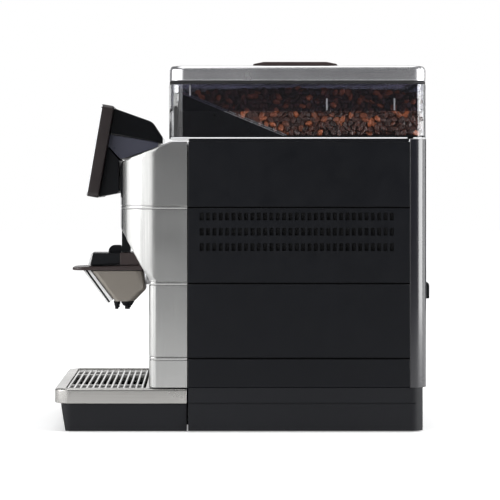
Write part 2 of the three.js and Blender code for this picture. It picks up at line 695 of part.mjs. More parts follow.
function dripTray() {
  const rimPlan = rounded(-HALF, HALF, TRAY_FRONT, TRAY_BACK, [20, 20, 0, 0]);
  const holePlan = rounded(-HALF + RIM_INSET, HALF - RIM_INSET, TRAY_FRONT + RIM_INSET + 3, -138, 2);
  const rim = upright(rimPlan, RIM_BOTTOM, TRAY_TOP - 1).add(
    upright(rounded(-HALF + 1, HALF - 1, TRAY_FRONT + 1, TRAY_BACK, [19, 19, 0, 0]), TRAY_TOP - 2, TRAY_TOP),
  );
  const wellHalf = HALF - RIM_INSET - LEDGE;
  const well = rounded(-wellHalf, wellHalf, TRAY_FRONT + RIM_INSET + 3, -138, 2);
  part("tray_rim", cut(rim, upright(holePlan, LEDGE_TOP, 80), upright(well, 0, 80)), "silver");

  const top = { inset: 3, front: -258 };
  const foot = { inset: 5, front: -251 };
  const planAt = ({ inset, front }) => rounded(-HALF + inset, HALF - inset, front, TRAY_BACK, [16, 16, 0, 0]);
  const wedge = across(
    outline([
      [foot.front, 1],
      [TRAY_BACK, 1],
      [TRAY_BACK, RIM_BOTTOM - GAP],
      [top.front, RIM_BOTTOM - GAP],
    ]),
    -HALF,
    HALF,
  );
  const pan = upright(planAt(top), 0, RIM_BOTTOM - GAP).intersect(wedge);
  const basin = upright(rounded(-HALF + 8, HALF - 8, -247, TRAY_BACK - 4, 12), PAN_FLOOR + 2.5, 80);
  const under = block(-TONGUE_HALF - 4, TONGUE_HALF + 4, TONGUE_FRONT - 4, TRAY_BACK + 1, 0, PAN_FLOOR);
  part("tray_pan", cut(pan, basin, under), "blackPlastic");
}

const GRATE = { bars: 13, pitch: 8.77, first: -249, barWidth: 2.6, top: 58.8, depth: 5 };

function grate() {
  const { bars, pitch, first, barWidth, top, depth } = GRATE;
  const half = HALF - RIM_INSET - 0.6;
  const back = first + (bars - 1) * pitch;
  const pieces = [];
  for (let index = 0; index < bars; index += 1) {
    const y = first + index * pitch;
    pieces.push(block(-half, half, y - barWidth / 2, y + barWidth / 2, top - depth, top));
  }
  for (const x of [-half + 3, -124, -78, 78, 124, half - 3]) {
    pieces.push(block(x - 2, x + 2, first - 1, back + 1, top - depth - 2, top - 0.6));
  }
  part("drip_grate", join(...pieces), "steel");
}

// ---- Inside the body ----------------------------------------------------------------------------------------

function grinder() {
  const { x, y } = GRINDER;
  const body = rod("z", [x, y, 330], BODY_TOP - 330 - 3, 44, 32);
  const neck = rod("z", [x, y, BODY_TOP - 4], HOPPER_FLOOR - BODY_TOP + 3.5, 24, 32);
  const bore = rod("z", [x, y, 345], 80, 20, 24);
  const chute = block(x - 14, x + 14, y - 70, y - 30, 342, 362);
  const chuteBore = block(x - 10, x + 10, y - 72, y - 10, 346, 358);
  const shaftHole = rod("z", [x, y, 320], 40, 8, 16);
  part("grinder_body", cut(join(body, neck, chute), bore, chuteBore, shaftHole), "whitePlastic");

  const ring = rod("z", [x, y, 358], 16, 19, 24);
  const eye = rod("z", [x, y, 357], 18, 9, 16);
  const shaft = rod("z", [x, y, 331], 36, 6, 16);
  const arm = block(x - 12, x + 12, y - 3, y + 3, 359, 364);
  part("grinder_burr", join(cut(ring, eye), shaft, arm), "steel");

  part("grinder_motor", rod("z", [x, y, 250], 80 - GAP, 36, 28), "steel");
}

const BREW = { x: 20, y: -20 };

function brewUnit() {
  const { x, y } = BREW;
  const frameBlock = block(x - 45, x + 45, y - 40, y + 35, 165, 290);
  const chamber = rod("z", [x, y, 180], 75, 24, 24);
  const head = block(x - 30, x + 30, y - 30, y + 25, 250, 295);
  const window = block(x - 36, x + 36, y - 45, y - 26, 175, 280);
  part("brew_unit_frame", cut(frameBlock, chamber, head, window), "whitePlastic");
  const crown = rod("z", [x, y, 236], 10, 22, 24);
  const stem = rod("z", [x, y, 246], 40, 9, 16);
  const yoke = block(x - 16, x + 16, y - 12, y + 12, 280, 290);
  part("brew_piston", join(crown, stem, yoke), "brass");
}

function groundsContainer() {
  const outer = block(-55, 85, -70, 45, 66, 158);
  const inner = block(-52, 82, -67, 42, 69, 160);
  part("grounds_container", outer.subtract(inner), "blackPlastic");
}

function boilerAndPump() {
  const shell = rod("z", [110, 150, 170], 120, 34, 28);
  const cap = rod("z", [110, 150, 290], 10, 34, 28, 22);
  part("boiler", join(shell, cap), "steel");
  const motor = rod("y", [110, 120, 100], 90, 24, 24);
  const headOfPump = block(92, 128, 96, 121, 82, 118);
  part("water_pump", join(motor, headOfPump), "brass");
  const route = [
    [110, 105, 119],
    [110, 104, 150],
    [109, 84, 190],
    [104, 50, 225],
    [88, 12, 260],
    [67, 5, 268],
  ];
  part("water_hose", hose(route, 3.5), "clear");
}

function waterTank() {
  const { x0, x1, y0, y1, z0, z1 } = TANK;
  const outer = block(x0, x1, y0, y1, z0, z1);
  const inner = block(x0 + 3, x1 - 3, y0 + 3, y1 - 3, z0 + 3, z1 + 1);
  part("water_tank", outer.subtract(inner), "clear");
}

function electronics() {
  const board = block(-150, -146, -40, 180, 262, 392);
  const chips = [0, 60, 120].map((y) => block(-147, -136, y - 14, y + 14, 300, 340));
  part("control_board", join(board, ...chips), "board");

  const { x, z, radius } = FAN;
  const square = block(x - 46, x + 46, 228, 251, z - 46, z + 46);
  const bore = rod("y", [x, 220, z], 40, radius, 32);
  const spider = join(
    rod("y", [x, 228, z], 3, 14, 20),
    block(x - radius - 2, x + radius + 2, 228, 231, z - 3, z + 3),
    block(x - 3, x + 3, 228, 231, z - radius - 2, z + radius + 2),
  );
  part("cooling_fan_frame", join(cut(square, bore), spider), "blackPlastic");

  const blades = [];
  for (let index = 0; index < 7; index += 1) {
    const blade = block(-6, 6, -8, 8, 10, radius - 3).rotate([0, 0, 28]);
    blades.push(blade.rotate([0, (index * 360) / 7, 0]));
  }
  const rotor = join(rod("y", [0, -9, 0], 18, 15, 20), ...blades).translate([x, 241, z]);
  part("cooling_fan_rotor", rotor, "blackPlastic");
}

base();
feet();
sidePanels();
rearPosts();
rearPanel();
rearFittings();
bulkhead();
deck();
hopper();
funnelTray();
beanCharge();
lid();
door();
spoutRail();
doorInnerPanel();
display();
displayCovers();
spout();
nozzles();
dripTray();
grate();
grinder();
brewUnit();
groundsContainer();
boilerAndPump();
waterTank();
electronics();

export default machine;
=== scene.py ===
"""A professional bean-to-cup espresso machine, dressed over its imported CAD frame.

Lengths are in millimetres until a piece is made, and every piece then goes into the frame in metres.
The front faces -Y, +X is the machine's right-hand side and +Z is up.
"""

import math
import random

import bmesh
import bpy
from mathutils import Matrix, Vector


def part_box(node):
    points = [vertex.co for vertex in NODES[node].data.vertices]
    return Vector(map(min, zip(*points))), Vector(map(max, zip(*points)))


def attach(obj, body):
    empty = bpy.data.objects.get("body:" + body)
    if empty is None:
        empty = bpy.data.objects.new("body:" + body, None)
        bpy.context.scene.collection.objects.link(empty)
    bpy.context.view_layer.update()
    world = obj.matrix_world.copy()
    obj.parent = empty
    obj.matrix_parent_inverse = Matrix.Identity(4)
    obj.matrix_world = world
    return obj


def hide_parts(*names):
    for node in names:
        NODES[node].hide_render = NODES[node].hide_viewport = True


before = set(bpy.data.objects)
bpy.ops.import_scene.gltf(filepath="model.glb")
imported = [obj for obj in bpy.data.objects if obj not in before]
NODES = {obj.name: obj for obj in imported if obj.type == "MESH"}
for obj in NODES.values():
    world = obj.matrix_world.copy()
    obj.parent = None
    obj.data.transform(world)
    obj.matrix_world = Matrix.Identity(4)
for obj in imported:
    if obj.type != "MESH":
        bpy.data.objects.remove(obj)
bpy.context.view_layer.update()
MM = 0.001
SIDES = {1: "right", -1: "left"}

# ---- Sizes shared by several pieces, in millimetres ----


def extents(node):
    """The lowest and highest corner of a CAD node, in millimetres."""
    low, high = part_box(node)
    return low / MM, high / MM


HALF = extents("side_panel_right")[1].x
SEAMS = (103.2, 208.6, 315.4)  # heights of the horizontal seams
CORNER = 22.0  # radius of the upright corners of hopper, lid and rear posts
SKIN = 2.5  # thickness of panels and shells
TILT = math.radians(9.7)  # the display leans back

# ---- Outlines ----


def fillet(corners, steps=7):
    """A closed outline through (a, b, radius) corners, with an arc at each corner that has a radius."""
    points = []
    count = len(corners)
    for index, (a, b, radius) in enumerate(corners):
        here = Vector((a, b))
        if radius <= 0:
            points.append(here)
            continue
        back = (Vector(corners[index - 1][:2]) - here).normalized()
        ahead = (Vector(corners[(index + 1) % count][:2]) - here).normalized()
        half_angle = back.angle(ahead) / 2
        centre = here + (back + ahead).normalized() * (radius / math.sin(half_angle))
        reach = radius / math.tan(half_angle)
        spoke = here + back * reach - centre
        last = here + ahead * reach - centre
        sweep = math.atan2(spoke.x * last.y - spoke.y * last.x, spoke.dot(last))
        for step in range(steps + 1):
            turn = Matrix.Rotation(sweep * step / steps, 2)
            points.append(centre + turn @ spoke)
    return points


def rounded_box(a0, a1, b0, b1, radius, steps=7):
    """A rectangle whose corners all have one radius, or four, from the low corner anticlockwise."""
    radii = radius if isinstance(radius, (tuple, list)) else (radius,) * 4
    corners = ((a0, b0), (a1, b0), (a1, b1), (a0, b1))
    return fillet([(a, b, r) for (a, b), r in zip(corners, radii)], steps)


def centred_box(a, b, width, height, radius, steps):
    """A rounded rectangle around a centre."""
    return rounded_box(a - width / 2, a + width / 2, b - height / 2, b + height / 2, radius, steps)


def circle(a, b, radius, steps=32):
    turns = [2 * math.pi * k / steps for k in range(steps)]
    return [Vector((a + radius * math.cos(turn), b + radius * math.sin(turn))) for turn in turns]


def place(point, level, axis):
    """The 3-D point of an outline point: the outline lies across `axis`, at `level` along it."""
    if axis == "x":
        return Vector((level, point.x, point.y))
    if axis == "y":
        return Vector((point.x, level, point.y))
    return Vector((point.x, point.y, level))


# ---- Solids, all gathered in a bmesh ----


def skin(bm, loops):
    """Joins every ring of vertices to the next one."""
    for lower, upper in zip(loops, loops[1:]):
        count = len(lower)
        for k in range(count):
            after = (k + 1) % count
            bm.faces.new((lower[k], lower[after], upper[after], upper[k]))


def solid(bm, rings):
    """A skin through rings of points, closed at both ends."""
    loops = [[bm.verts.new(p) for p in points] for points in rings]
    skin(bm, loops)
    bm.faces.new(reversed(loops[0]))
    bm.faces.new(loops[-1])
    return bm


def stack(bm, rings, axis="z"):
    """A solid through (outline, level) rings of equal length."""
    return solid(bm, [[place(p, level, axis) for p in points] for points, level in rings])


def closed_stack(bm, rings, axis="z"):
    """A ring-shaped skin: the last ring joins the first."""
    loops = [[bm.verts.new(place(p, level, axis)) for p in points] for points, level in rings]
    skin(bm, loops + loops[:1])
    return bm


def prism(bm, points, low, high, axis="x"):
    """An outline extruded along an axis."""
    return stack(bm, ((points, low), (points, high)), axis)


def side_prism(bm, points, side, inner, outer):
    """An outline extruded between two distances from the middle, on one side of the machine."""
    low, high = sorted((side * inner, side * outer))
    return prism(bm, points, low, high)


def box(bm, x0, x1, y0, y1, z0, z1):
    return prism(bm, rounded_box(x0, x1, y0, y1, 0), z0, z1, "z")


def lathe(bm, profile, centre, axis="z", steps=32):
    """A turned solid through (radius, level) points around an axis at `centre`."""
    rings = [(circle(centre[0], centre[1], radius, steps), level) for radius, level in profile]
    return stack(bm, rings, axis)


def grid(bm, rows):
    """An open sheet through rows of points of equal length."""
    sheet = [[bm.verts.new(point) for point in row] for row in rows]
    for lower, upper in zip(sheet, sheet[1:]):
        for k in range(len(lower) - 1):
            bm.faces.new((lower[k], lower[k + 1], upper[k + 1], upper[k]))
    return sheet


# ---- Pieces ----

SHARP = 38  # degrees: edges sharper than this stay sharp when shaded


def to_mesh(name, bm):
    """Turns a bmesh into a mesh and frees it."""
    mesh = bpy.data.meshes.new(name)
    bm.to_mesh(mesh)
    bm.free()
    return mesh


def shade(mesh, sharp=SHARP):
    mesh.shade_smooth()
    mesh.set_sharp_from_angle(angle=math.radians(sharp))


def add_object(name, data):
    obj = bpy.data.objects.new(name, data)
    bpy.context.scene.collection.objects.link(obj)
    return obj


def thicken(obj, thickness):
    """Gives a sheet its thickness, inwards from the side its faces look to."""
    solidify = obj.modifiers.new("thickness", "SOLIDIFY")
    solidify.thickness = thickness * MM
    solidify.offset = -1
    return solidify


def soften(obj, width, segments=3, angle=35):
    """Rounds the sharp edges and keeps flat faces flat."""
    if width > 0:
        bevel = obj.modifiers.new("edges", "BEVEL")
        bevel.width = width * MM
        bevel.segments = segments
        bevel.limit_method = "ANGLE"
        bevel.angle_limit = math.radians(angle)
        bevel.harden_normals = False
    obj.modifiers.new("shading", "WEIGHTED_NORMAL").keep_sharp = True


def piece(name, bm, body, material, stands_for=(), edge=0.5, thickness=0, matrix=None, segments=3):
    """Makes an object of a bmesh given in millimetres, and fastens it to a CAD body."""
    if matrix is not None:
        bm.transform(matrix)
    bm.transform(Matrix.Scale(MM, 4))
    bmesh.ops.remove_doubles(bm, verts=bm.verts, dist=1e-6)
    bmesh.ops.recalc_face_normals(bm, faces=bm.faces)
    mesh = to_mesh(name, bm)
    shade(mesh)
    mesh.materials.append(material)
    obj = add_object(name, mesh)
    if thickness:
        thicken(obj, thickness).use_even_offset = True
    soften(obj, edge, segments)
    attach(obj, body)
    if stands_for:
        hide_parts(*stands_for)
    return obj


def slab(name, corners, steps, low, high, body, material, stands_for, edge, segments=3):
    """A piece with one filleted (y, z) outline, extruded from `low` to `high` in X."""
    bm = prism(bmesh.new(), fillet(corners, steps), low, high)
    return piece(name, bm, body, material, stands_for, edge, segments=segments)


def carve(obj, bm):
    """Cuts the solid in `bm` (in millimetres) out of a piece, for good."""
    bm.transform(Matrix.Scale(MM, 4))
    bmesh.ops.recalc_face_normals(bm, faces=bm.faces)
    cutter = add_object("cutter", to_mesh("cutter", bm))
    cut = obj.modifiers.new("cut", "BOOLEAN")
    cut.object = cutter
    cut.operation = "DIFFERENCE"
    cut.solver = "EXACT"
    others = [m for m in obj.modifiers if m is not cut]
    for modifier in others:
        modifier.show_viewport = False
    bpy.context.view_layer.update()
    result = bpy.data.meshes.new_from_object(obj.evaluated_get(bpy.context.evaluated_depsgraph_get()))
    obj.modifiers.remove(cut)
    for modifier in others:
        modifier.show_viewport = True
    obj.data = result
    bpy.data.objects.remove(cutter)
    shade(obj.data)


def dress(node, material, edge=0.6):
    """Keeps a CAD node's shape, rounds its edges and gives it its material."""
    obj = NODES[node]
    obj.data.materials.clear()
    obj.data.materials.append(material)
    weld = obj.modifiers.new("weld", "WELD")
    weld.merge_threshold = 0.00001
    flat = obj.modifiers.new("flat", "DECIMATE")
    flat.decimate_type = "DISSOLVE"
    flat.angle_limit = math.radians(1)
    soften(obj, edge, 2)


# ---- Materials ----


class Paint:
    """A node material around one Principled shader, with short calls for the nodes used here."""

    def __init__(self, name, colour, roughness=0.5, metallic=0.0, **sockets):
        self.material = bpy.data.materials.new(name)
        self.material.use_nodes = True
        self.tree = self.material.node_tree
        self.shader = self.tree.nodes["Principled BSDF"]
        self.colour = colour
        self.roughness = roughness
        self.set("Base Color", (*colour, 1))
        self.set("Roughness", roughness)
        self.set("Metallic", metallic)
        for socket, value in sockets.items():
            self.set(socket.replace("_", " "), value)
        place_node = self.node("ShaderNodeTexCoord")
        self.position = place_node.outputs["Object"]

    def node(self, kind, constants=None, **settings):
        """Adds a node, with its settings and the constants on its sockets."""
        made = self.tree.nodes.new(kind)
        for key, value in settings.items():
            setattr(made, key, value)
        for socket, value in (constants or {}).items():
            made.inputs[socket].default_value = value
        return made

    def set(self, socket, value):
        self.shader.inputs[socket].default_value = value

    def link(self, source, target):
        self.tree.links.new(source, target)

    def stretched(self, scale):
        """The position, scaled differently along each axis."""
        mapping = self.node("ShaderNodeMapping", {"Scale": scale})
        self.link(self.position, mapping.inputs["Vector"])
        return mapping.outputs["Vector"]

    def noise(self, scale, detail=3.0, vector=None, rough=0.5):
        texture = self.node("ShaderNodeTexNoise", {"Scale": scale, "Detail": detail, "Roughness": rough})
        self.link(vector or self.position, texture.inputs["Vector"])
        return texture.outputs["Fac"]

    def range(self, value, low, high, from_low=0.3, from_high=0.7):
        """Maps a 0..1 texture value onto a range."""
        limits = {"From Min": from_low, "From Max": from_high, "To Min": low, "To Max": high}
        mapped = self.node("ShaderNodeMapRange", limits)
        self.link(value, mapped.inputs["Value"])
        return mapped.outputs["Result"]

    def tint(self, value, low, high):
        """Varies the base colour between `low` and `high` times its brightness."""
        ramp = self.node("ShaderNodeValToRGB")
        ramp.color_ramp.elements[0].position = 0.3
        ramp.color_ramp.elements[1].position = 0.7
        ramp.color_ramp.elements[0].color = (*(min(c * low, 1) for c in self.colour), 1)
        ramp.color_ramp.elements[1].color = (*(min(c * high, 1) for c in self.colour), 1)
        self.link(value, ramp.inputs["Fac"])
        self.link(ramp.outputs["Color"], self.shader.inputs["Base Color"])
        return ramp

    def rough(self, value, low, high):
        self.link(self.range(value, low, high), self.shader.inputs["Roughness"])

    def bump(self, height, distance, strength=0.5):
        bump = self.node("ShaderNodeBump", {"Strength": strength, "Distance": distance})
        self.link(height, bump.inputs["Height"])
        self.link(bump.outputs["Normal"], self.shader.inputs["Normal"])


def moulded(name, colour, roughness, grain=1400.0, depth=0.00004, **sockets):
    """Injection-moulded plastic: a fine spark-eroded grain, faint cloudiness and handling marks."""
    paint = Paint(name, colour, roughness, **sockets)
    clouds = paint.noise(9.0, 4.0)
    paint.tint(clouds, 0.9, 1.12)
    marks = paint.noise(38.0, 6.0, rough=0.65)
    paint.rough(marks, roughness * 0.86, min(roughness * 1.18, 1.0))
    paint.bump(paint.noise(grain, 2.0), depth, 0.6)
    return paint.material


def brushed(name, colour, roughness, run, depth=0.00001):
    """Brushed metal: hairlines along `run`, with brightness and gloss that follow them."""
    paint = Paint(name, colour, roughness, 0.92)
    scale = [900.0] * 3
    scale["xyz".index(run)] = 9.0
    hairs = paint.noise(1.0, 3.0, paint.stretched(scale))
    paint.tint(hairs, 0.93, 1.06)
    smears = paint.noise(14.0, 5.0)
    paint.rough(smears, roughness * 0.88, roughness * 1.14)
    paint.bump(hairs, depth, 0.35)
    return paint.material


def polished(name, colour, roughness):
    """Plated or turned metal: clean, with a faint orange peel and water marks."""
    paint = Paint(name, colour, roughness, 1.0)
    paint.tint(paint.noise(30.0, 3.0), 0.96, 1.03)
    paint.rough(paint.noise(55.0, 6.0, rough=0.7), roughness * 0.7, roughness * 1.6)
    paint.bump(paint.noise(160.0, 1.0), 0.00002, 0.15)
    return paint.material


def lacquer(name, colour, roughness, metallic):
    """Metallic lacquer: tiny flakes under a clear coat."""
    paint = Paint(name, colour, roughness, metallic, Coat_Weight=0.5, Coat_Roughness=0.12)
    flakes = paint.node("ShaderNodeTexVoronoi", {"Scale": 2600.0})
    paint.link(paint.position, flakes.inputs["Vector"])
    paint.tint(flakes.outputs["Distance"], 0.94, 1.08)
    paint.rough(paint.noise(26.0, 5.0), roughness * 0.9, roughness * 1.15)
    paint.bump(paint.noise(420.0, 2.0), 0.00001, 0.3)
    return paint.material


def clear(name, colour, roughness=0.008, ior=1.4):
    """Clear moulded plastic: colourless or smoked, with faint swirls from wiping."""
    paint = Paint(name, colour, roughness, 0.0, Transmission_Weight=1.0, IOR=ior)
    wiping = paint.noise(60.0, 6.0, paint.stretched((1.0, 0.35, 1.6)), rough=0.7)
    paint.rough(wiping, roughness * 0.6, roughness * 2.0)
    paint.tint(paint.noise(12.0, 2.0), 0.97, 1.0)
    return paint.material


def roasted(name):
    """Roasted beans: each bean has its own brown, with a wrinkled, slightly oily skin."""
    paint = Paint(name, (0.2, 0.1, 0.06), 0.34, Specular_IOR_Level=0.35)
    island = paint.node("ShaderNodeNewGeometry").outputs["Random Per Island"]
    ramp = paint.node("ShaderNodeValToRGB")
    stops = ramp.color_ramp.elements
    stops[0].position, stops[0].color = 0.0, (0.012, 0.004, 0.0035, 1)
    stops[1].position, stops[1].color = 1.0, (0.27, 0.07, 0.022, 1)
    middle = stops.new(0.75)
    middle.color = (0.05, 0.0155, 0.0105, 1)
    paint.link(island, ramp.inputs["Fac"])
    mottle = paint.node("ShaderNodeMix", {"Factor": 0.55}, data_type="RGBA", blend_type="MULTIPLY")
    paint.link(ramp.outputs["Color"], mottle.inputs["A"])
    speckle = paint.node("ShaderNodeValToRGB")
    speckle.color_ramp.elements[0].color = (0.45, 0.4, 0.38, 1)
    paint.link(paint.noise(520.0, 4.0), speckle.inputs["Fac"])
    paint.link(speckle.outputs["Color"], mottle.inputs["B"])
    paint.link(mottle.outputs["Result"], paint.shader.inputs["Base Color"])
    paint.bump(paint.noise(900.0, 4.0), 0.0002, 0.5)
    return paint.material


def board_green(name):
    """A circuit board: solder mask with faint copper runs under it."""
    paint = Paint(name, (0.02, 0.13, 0.07), 0.35, Coat_Weight=0.3)
    pattern = {
        "Scale": 120.0,
        "Color1": (0.02, 0.12, 0.065, 1),
        "Color2": (0.025, 0.16, 0.085, 1),
        "Mortar": (0.12, 0.26, 0.1, 1),
        "Mortar Size": 0.03,
    }
    runs = paint.node("ShaderNodeTexBrick", pattern)
    paint.link(paint.stretched((0.0, 1.0, 1.0)), runs.inputs["Vector"])
    paint.link(runs.outputs["Color"], paint.shader.inputs["Base Color"])
    paint.bump(runs.outputs["Fac"], 0.00005, 0.4)
    return paint.material


BLACK = moulded("black_plastic", (0.004, 0.0046, 0.0066), 0.4, Specular_IOR_Level=0.22)
TRAY_BLACK = moulded("hopper_black", (0.002, 0.002, 0.003), 0.3, Specular_IOR_Level=0.15)
CLIP = moulded("clip_grey", (0.22, 0.22, 0.24), 0.35)
PAN_BLACK = moulded("pan_black", (0.008, 0.0085, 0.0108), 0.46, Specular_IOR_Level=0.25)
GREY = moulded("grey_plastic", (0.045, 0.046, 0.055), 0.4)
GLOSS_COAT = {"Coat_Weight": 0.3, "Coat_Roughness": 0.03}
GLOSS = moulded("gloss_black", (0.003, 0.0035, 0.0045), 0.14, 300.0, 0.00001, **GLOSS_COAT)
NECK = moulded("neck_grey", (0.09, 0.093, 0.13), 0.3)
BROWN = moulded("brown_plastic", (0.04, 0.026, 0.025), 0.36)
FRAME_BROWN = moulded("frame_brown", (0.02, 0.0135, 0.0135), 0.38)
GLASS_COAT = {"Coat_Weight": 1.0, "Coat_Roughness": 0.02}
SCREEN = moulded("screen_glass", (0.004, 0.004, 0.005), 0.05, 90.0, 0.000004, **GLASS_COAT)
WHITE = moulded("white_plastic", (0.68, 0.68, 0.64), 0.4)
RUBBER = moulded("rubber", (0.011, 0.011, 0.012), 0.8, 900.0, 0.0001)
# Painted shade: a near-black, nearly unreflecting strip laid in the seam grooves, darker than the panels' own
# black.
SEAM_SHADE_BLACK = moulded("painted_seam_shade", (0.001, 0.001, 0.0012), 0.8, 900.0, 0.00001, Specular_IOR_Level=0.05)
FILTER = moulded("vent_filter", (0.006, 0.006, 0.007), 0.9, 700.0, 0.0006)
SILVER = brushed("brushed_silver", (0.55, 0.55, 0.54), 0.24, "z", 0.000001)
LID_SILVER = brushed("lid_silver", (0.78, 0.775, 0.79), 0.25, "y", 0.000001)
RIM_SILVER = brushed("rim_silver", (0.5, 0.49, 0.47), 0.28, "y", 0.000001)
STEEL = brushed("fine_steel", (0.6, 0.6, 0.6), 0.26, "x")
CHROME = polished("chrome", (0.82, 0.83, 0.85), 0.06)
BRIGHT = brushed("bright_steel", (0.8, 0.79, 0.78), 0.32, "x")
PEARL_COAT = {"Coat_Weight": 0.6, "Coat_Roughness": 0.05}
PEARL = moulded("pearl_plastic", (0.86, 0.86, 0.86), 0.22, 900.0, 0.00001, **PEARL_COAT)
BRASS = polished("brass", (0.72, 0.5, 0.2), 0.22)
TAUPE = lacquer("taupe_lacquer", (0.27, 0.243, 0.21), 0.34, 0.35)
CLEAR = clear("clear_plastic", (0.97, 0.98, 0.99))
SMOKED = clear("smoked_plastic", (0.36, 0.35, 0.45), 0.012)
BEANS = roasted("roasted_beans")
BOARD = board_green("circuit_board")
POST_COAT = {"Coat_Weight": 1.0, "Coat_Roughness": 0.12}
POST_BLACK = moulded("post_black", (0.006, 0.006, 0.01), 0.24, 900.0, 0.000002, **POST_COAT)
SPLASH = brushed("splash_steel", (0.52, 0.52, 0.52), 0.3, "x")
HOSE = moulded("silicone_hose", (0.5, 0.52, 0.55), 0.35, 500.0)


def glow(name, colour, strength):
    """A lit part of the screen, with the faint grain of its pixels."""
    paint = Paint(name, colour, 0.3)
    grain = paint.tint(paint.noise(1800.0, 1.0), 0.8, 1.1)
    paint.link(grain.outputs["Color"], paint.shader.inputs["Emission Color"])
    paint.set("Emission Strength", strength)
    return paint.material


TILE = glow("screen_tile", (0.02, 0.03, 0.045), 0.4)
ICON = glow("screen_icon", (0.75, 0.8, 0.85), 0.7)

# ---- Camera, light and floor ----

CAMERA_AT = (2.94, -0.055, 0.347)  # metres: level with the hopper's foot, square to the right side
LENS = 142.5
SHIFT = (0.091, -0.13)


def camera():
    data = bpy.data.cameras.new("camera")
    data.lens = LENS
    data.sensor_width = 36.0
    data.shift_x, data.shift_y = SHIFT
    data.clip_end = 100
    obj = add_object("camera", data)
    obj.location = CAMERA_AT
    obj.rotation_euler = (math.radians(90), 0, math.radians(90))
    bpy.context.scene.camera = obj


# Name, place, size and power of each light; lengths in metres, power in watts.
LIGHTS = (
    ("top_light", (0.1, -0.1, 2.4), (1.6, 2.4), 26),
    ("front_wall", (0.5, -2.3, 0.8), (2.6, 2.0), 27),
    ("front_corner_light", (2.4, -1.5, 0.8), (1.5, 2.2), 17),
    ("rear_corner_light", (0.75, 2.35, 0.8), (1.5, 2.2), 80),
    ("rear_wall", (-0.7, 2.4, 0.9), (1.2, 2.0), 14),
    ("hopper_strip", (0.9, -2.1, 0.68), (1.4, 0.26), 13),
    ("backdrop", (-2.3, -0.1, 0.75), (3.2, 1.3), 14),
)
LIGHT_TARGET = Vector((0, 0, 0.27))


def softbox(name, at, size, power):
    data = bpy.data.lights.new(name, "AREA")
    data.shape = "RECTANGLE"
    data.size, data.size_y = size
    data.energy = power
    obj = add_object(name, data)
    obj.location = at
    obj.visible_camera = False
    obj.rotation_euler = (LIGHT_TARGET - Vector(at)).to_track_quat("-Z", "Y").to_euler()


def studio():
    for light in LIGHTS:
        softbox(*light)
    world = bpy.data.worlds.new("world")
    bpy.context.scene.world = world
    world.use_nodes = True
    tree = world.node_tree
    seen = tree.nodes["Background"]
    seen.inputs["Color"].default_value = (1, 1, 1, 1)
    seen.inputs["Strength"].default_value = 1.0
    room = tree.nodes.new("ShaderNodeBackground")
    room.inputs["Color"].default_value = (0.93, 0.95, 1.0, 1)
    room.inputs["Strength"].default_value = 0.1
    path = tree.nodes.new("ShaderNodeLightPath")
    mix = tree.nodes.new("ShaderNodeMixShader")
    tree.links.new(path.outputs["Is Camera Ray"], mix.inputs["Fac"])
    tree.links.new(room.outputs["Background"], mix.inputs[1])
    tree.links.new(seen.outputs["Background"], mix.inputs[2])
    tree.links.new(mix.outputs["Shader"], tree.nodes["World Output"].inputs["Surface"])
    bpy.context.scene.view_settings.view_transform = "Standard"


FLOOR_LEVEL = -0.0002  # metres: just under the feet
FLOOR_RADIUS = 12.0


def floor():
    paint = Paint("floor", (0.9, 0.9, 0.9), 0.85)
    paint.tint(paint.noise(0.6, 2.0), 0.995, 1.0)
    paint.set("Emission Color", (1, 1, 1, 1))
    distance = paint.node("ShaderNodeVectorMath", operation="LENGTH")
    paint.link(paint.position, distance.inputs[0])
    brightness = paint.range(distance.outputs["Value"], 0.35, 1.0, 0.4, 2.4)
    seen = paint.node("ShaderNodeLightPath").outputs["Is Camera Ray"]
    direct = paint.node("ShaderNodeMath", operation="MULTIPLY")
    paint.link(brightness, direct.inputs[0])
    paint.link(seen, direct.inputs[1])
    paint.link(direct.outputs["Value"], paint.shader.inputs["Emission Strength"])
    bm = bmesh.new()
    bm.faces.new([bm.verts.new((p.x, p.y, FLOOR_LEVEL)) for p in circle(0, 0, FLOOR_RADIUS, 96)])
    mesh = to_mesh("floor", bm)
    mesh.materials.append(paint.material)
    obj = add_object("floor", mesh)


# ---- Body panels ----

SLOT_ROWS = (302.8, 281.4, 259.8)
SLOTS = 31
SLOT_PITCH = 8.9
FIRST_SLOT = 19.2  # from the panel's front edge
SLOT = (5.7, 10.8)
CELL_HALF = 7.5  # half the height of the cell that a slot is cut from


def panel_rows(low, high):
    """(height, inset) of every horizontal line on the side panel, with a V-lipped gap at each seam."""
    rows = [(low, 0.7), (low + 0.7, 0.0), (high - 0.7, 0.0), (high, 0.7)]
    for seam in SEAMS:
        lips = ((1.9, 0.0), (1.35, 0.4), (1.1, 1.6))
        rows += [(seam - away, inset) for away, inset in lips]
        rows += [(seam + away, inset) for away, inset in lips]
    for centre in SLOT_ROWS:
        rows += [(centre - CELL_HALF, 0.0), (centre + CELL_HALF, 0.0)]
    return sorted(rows)


def slot_ring(bm, corners, outline, x):
    """Fills between a cell's four corners and the slot's round outline."""
    ring = [bm.verts.new((x, p.x, p.y)) for p in outline]
    arc = len(ring) // 4
    for k in range(4):
        first = k * arc
        for step in range(arc - 1):
            bm.faces.new((corners[k], ring[first + step + 1], ring[first + step]))
        after = ((k + 1) % 4) * arc
        bm.faces.new((corners[k], corners[(k + 1) % 4], ring[after], ring[first + arc - 1]))


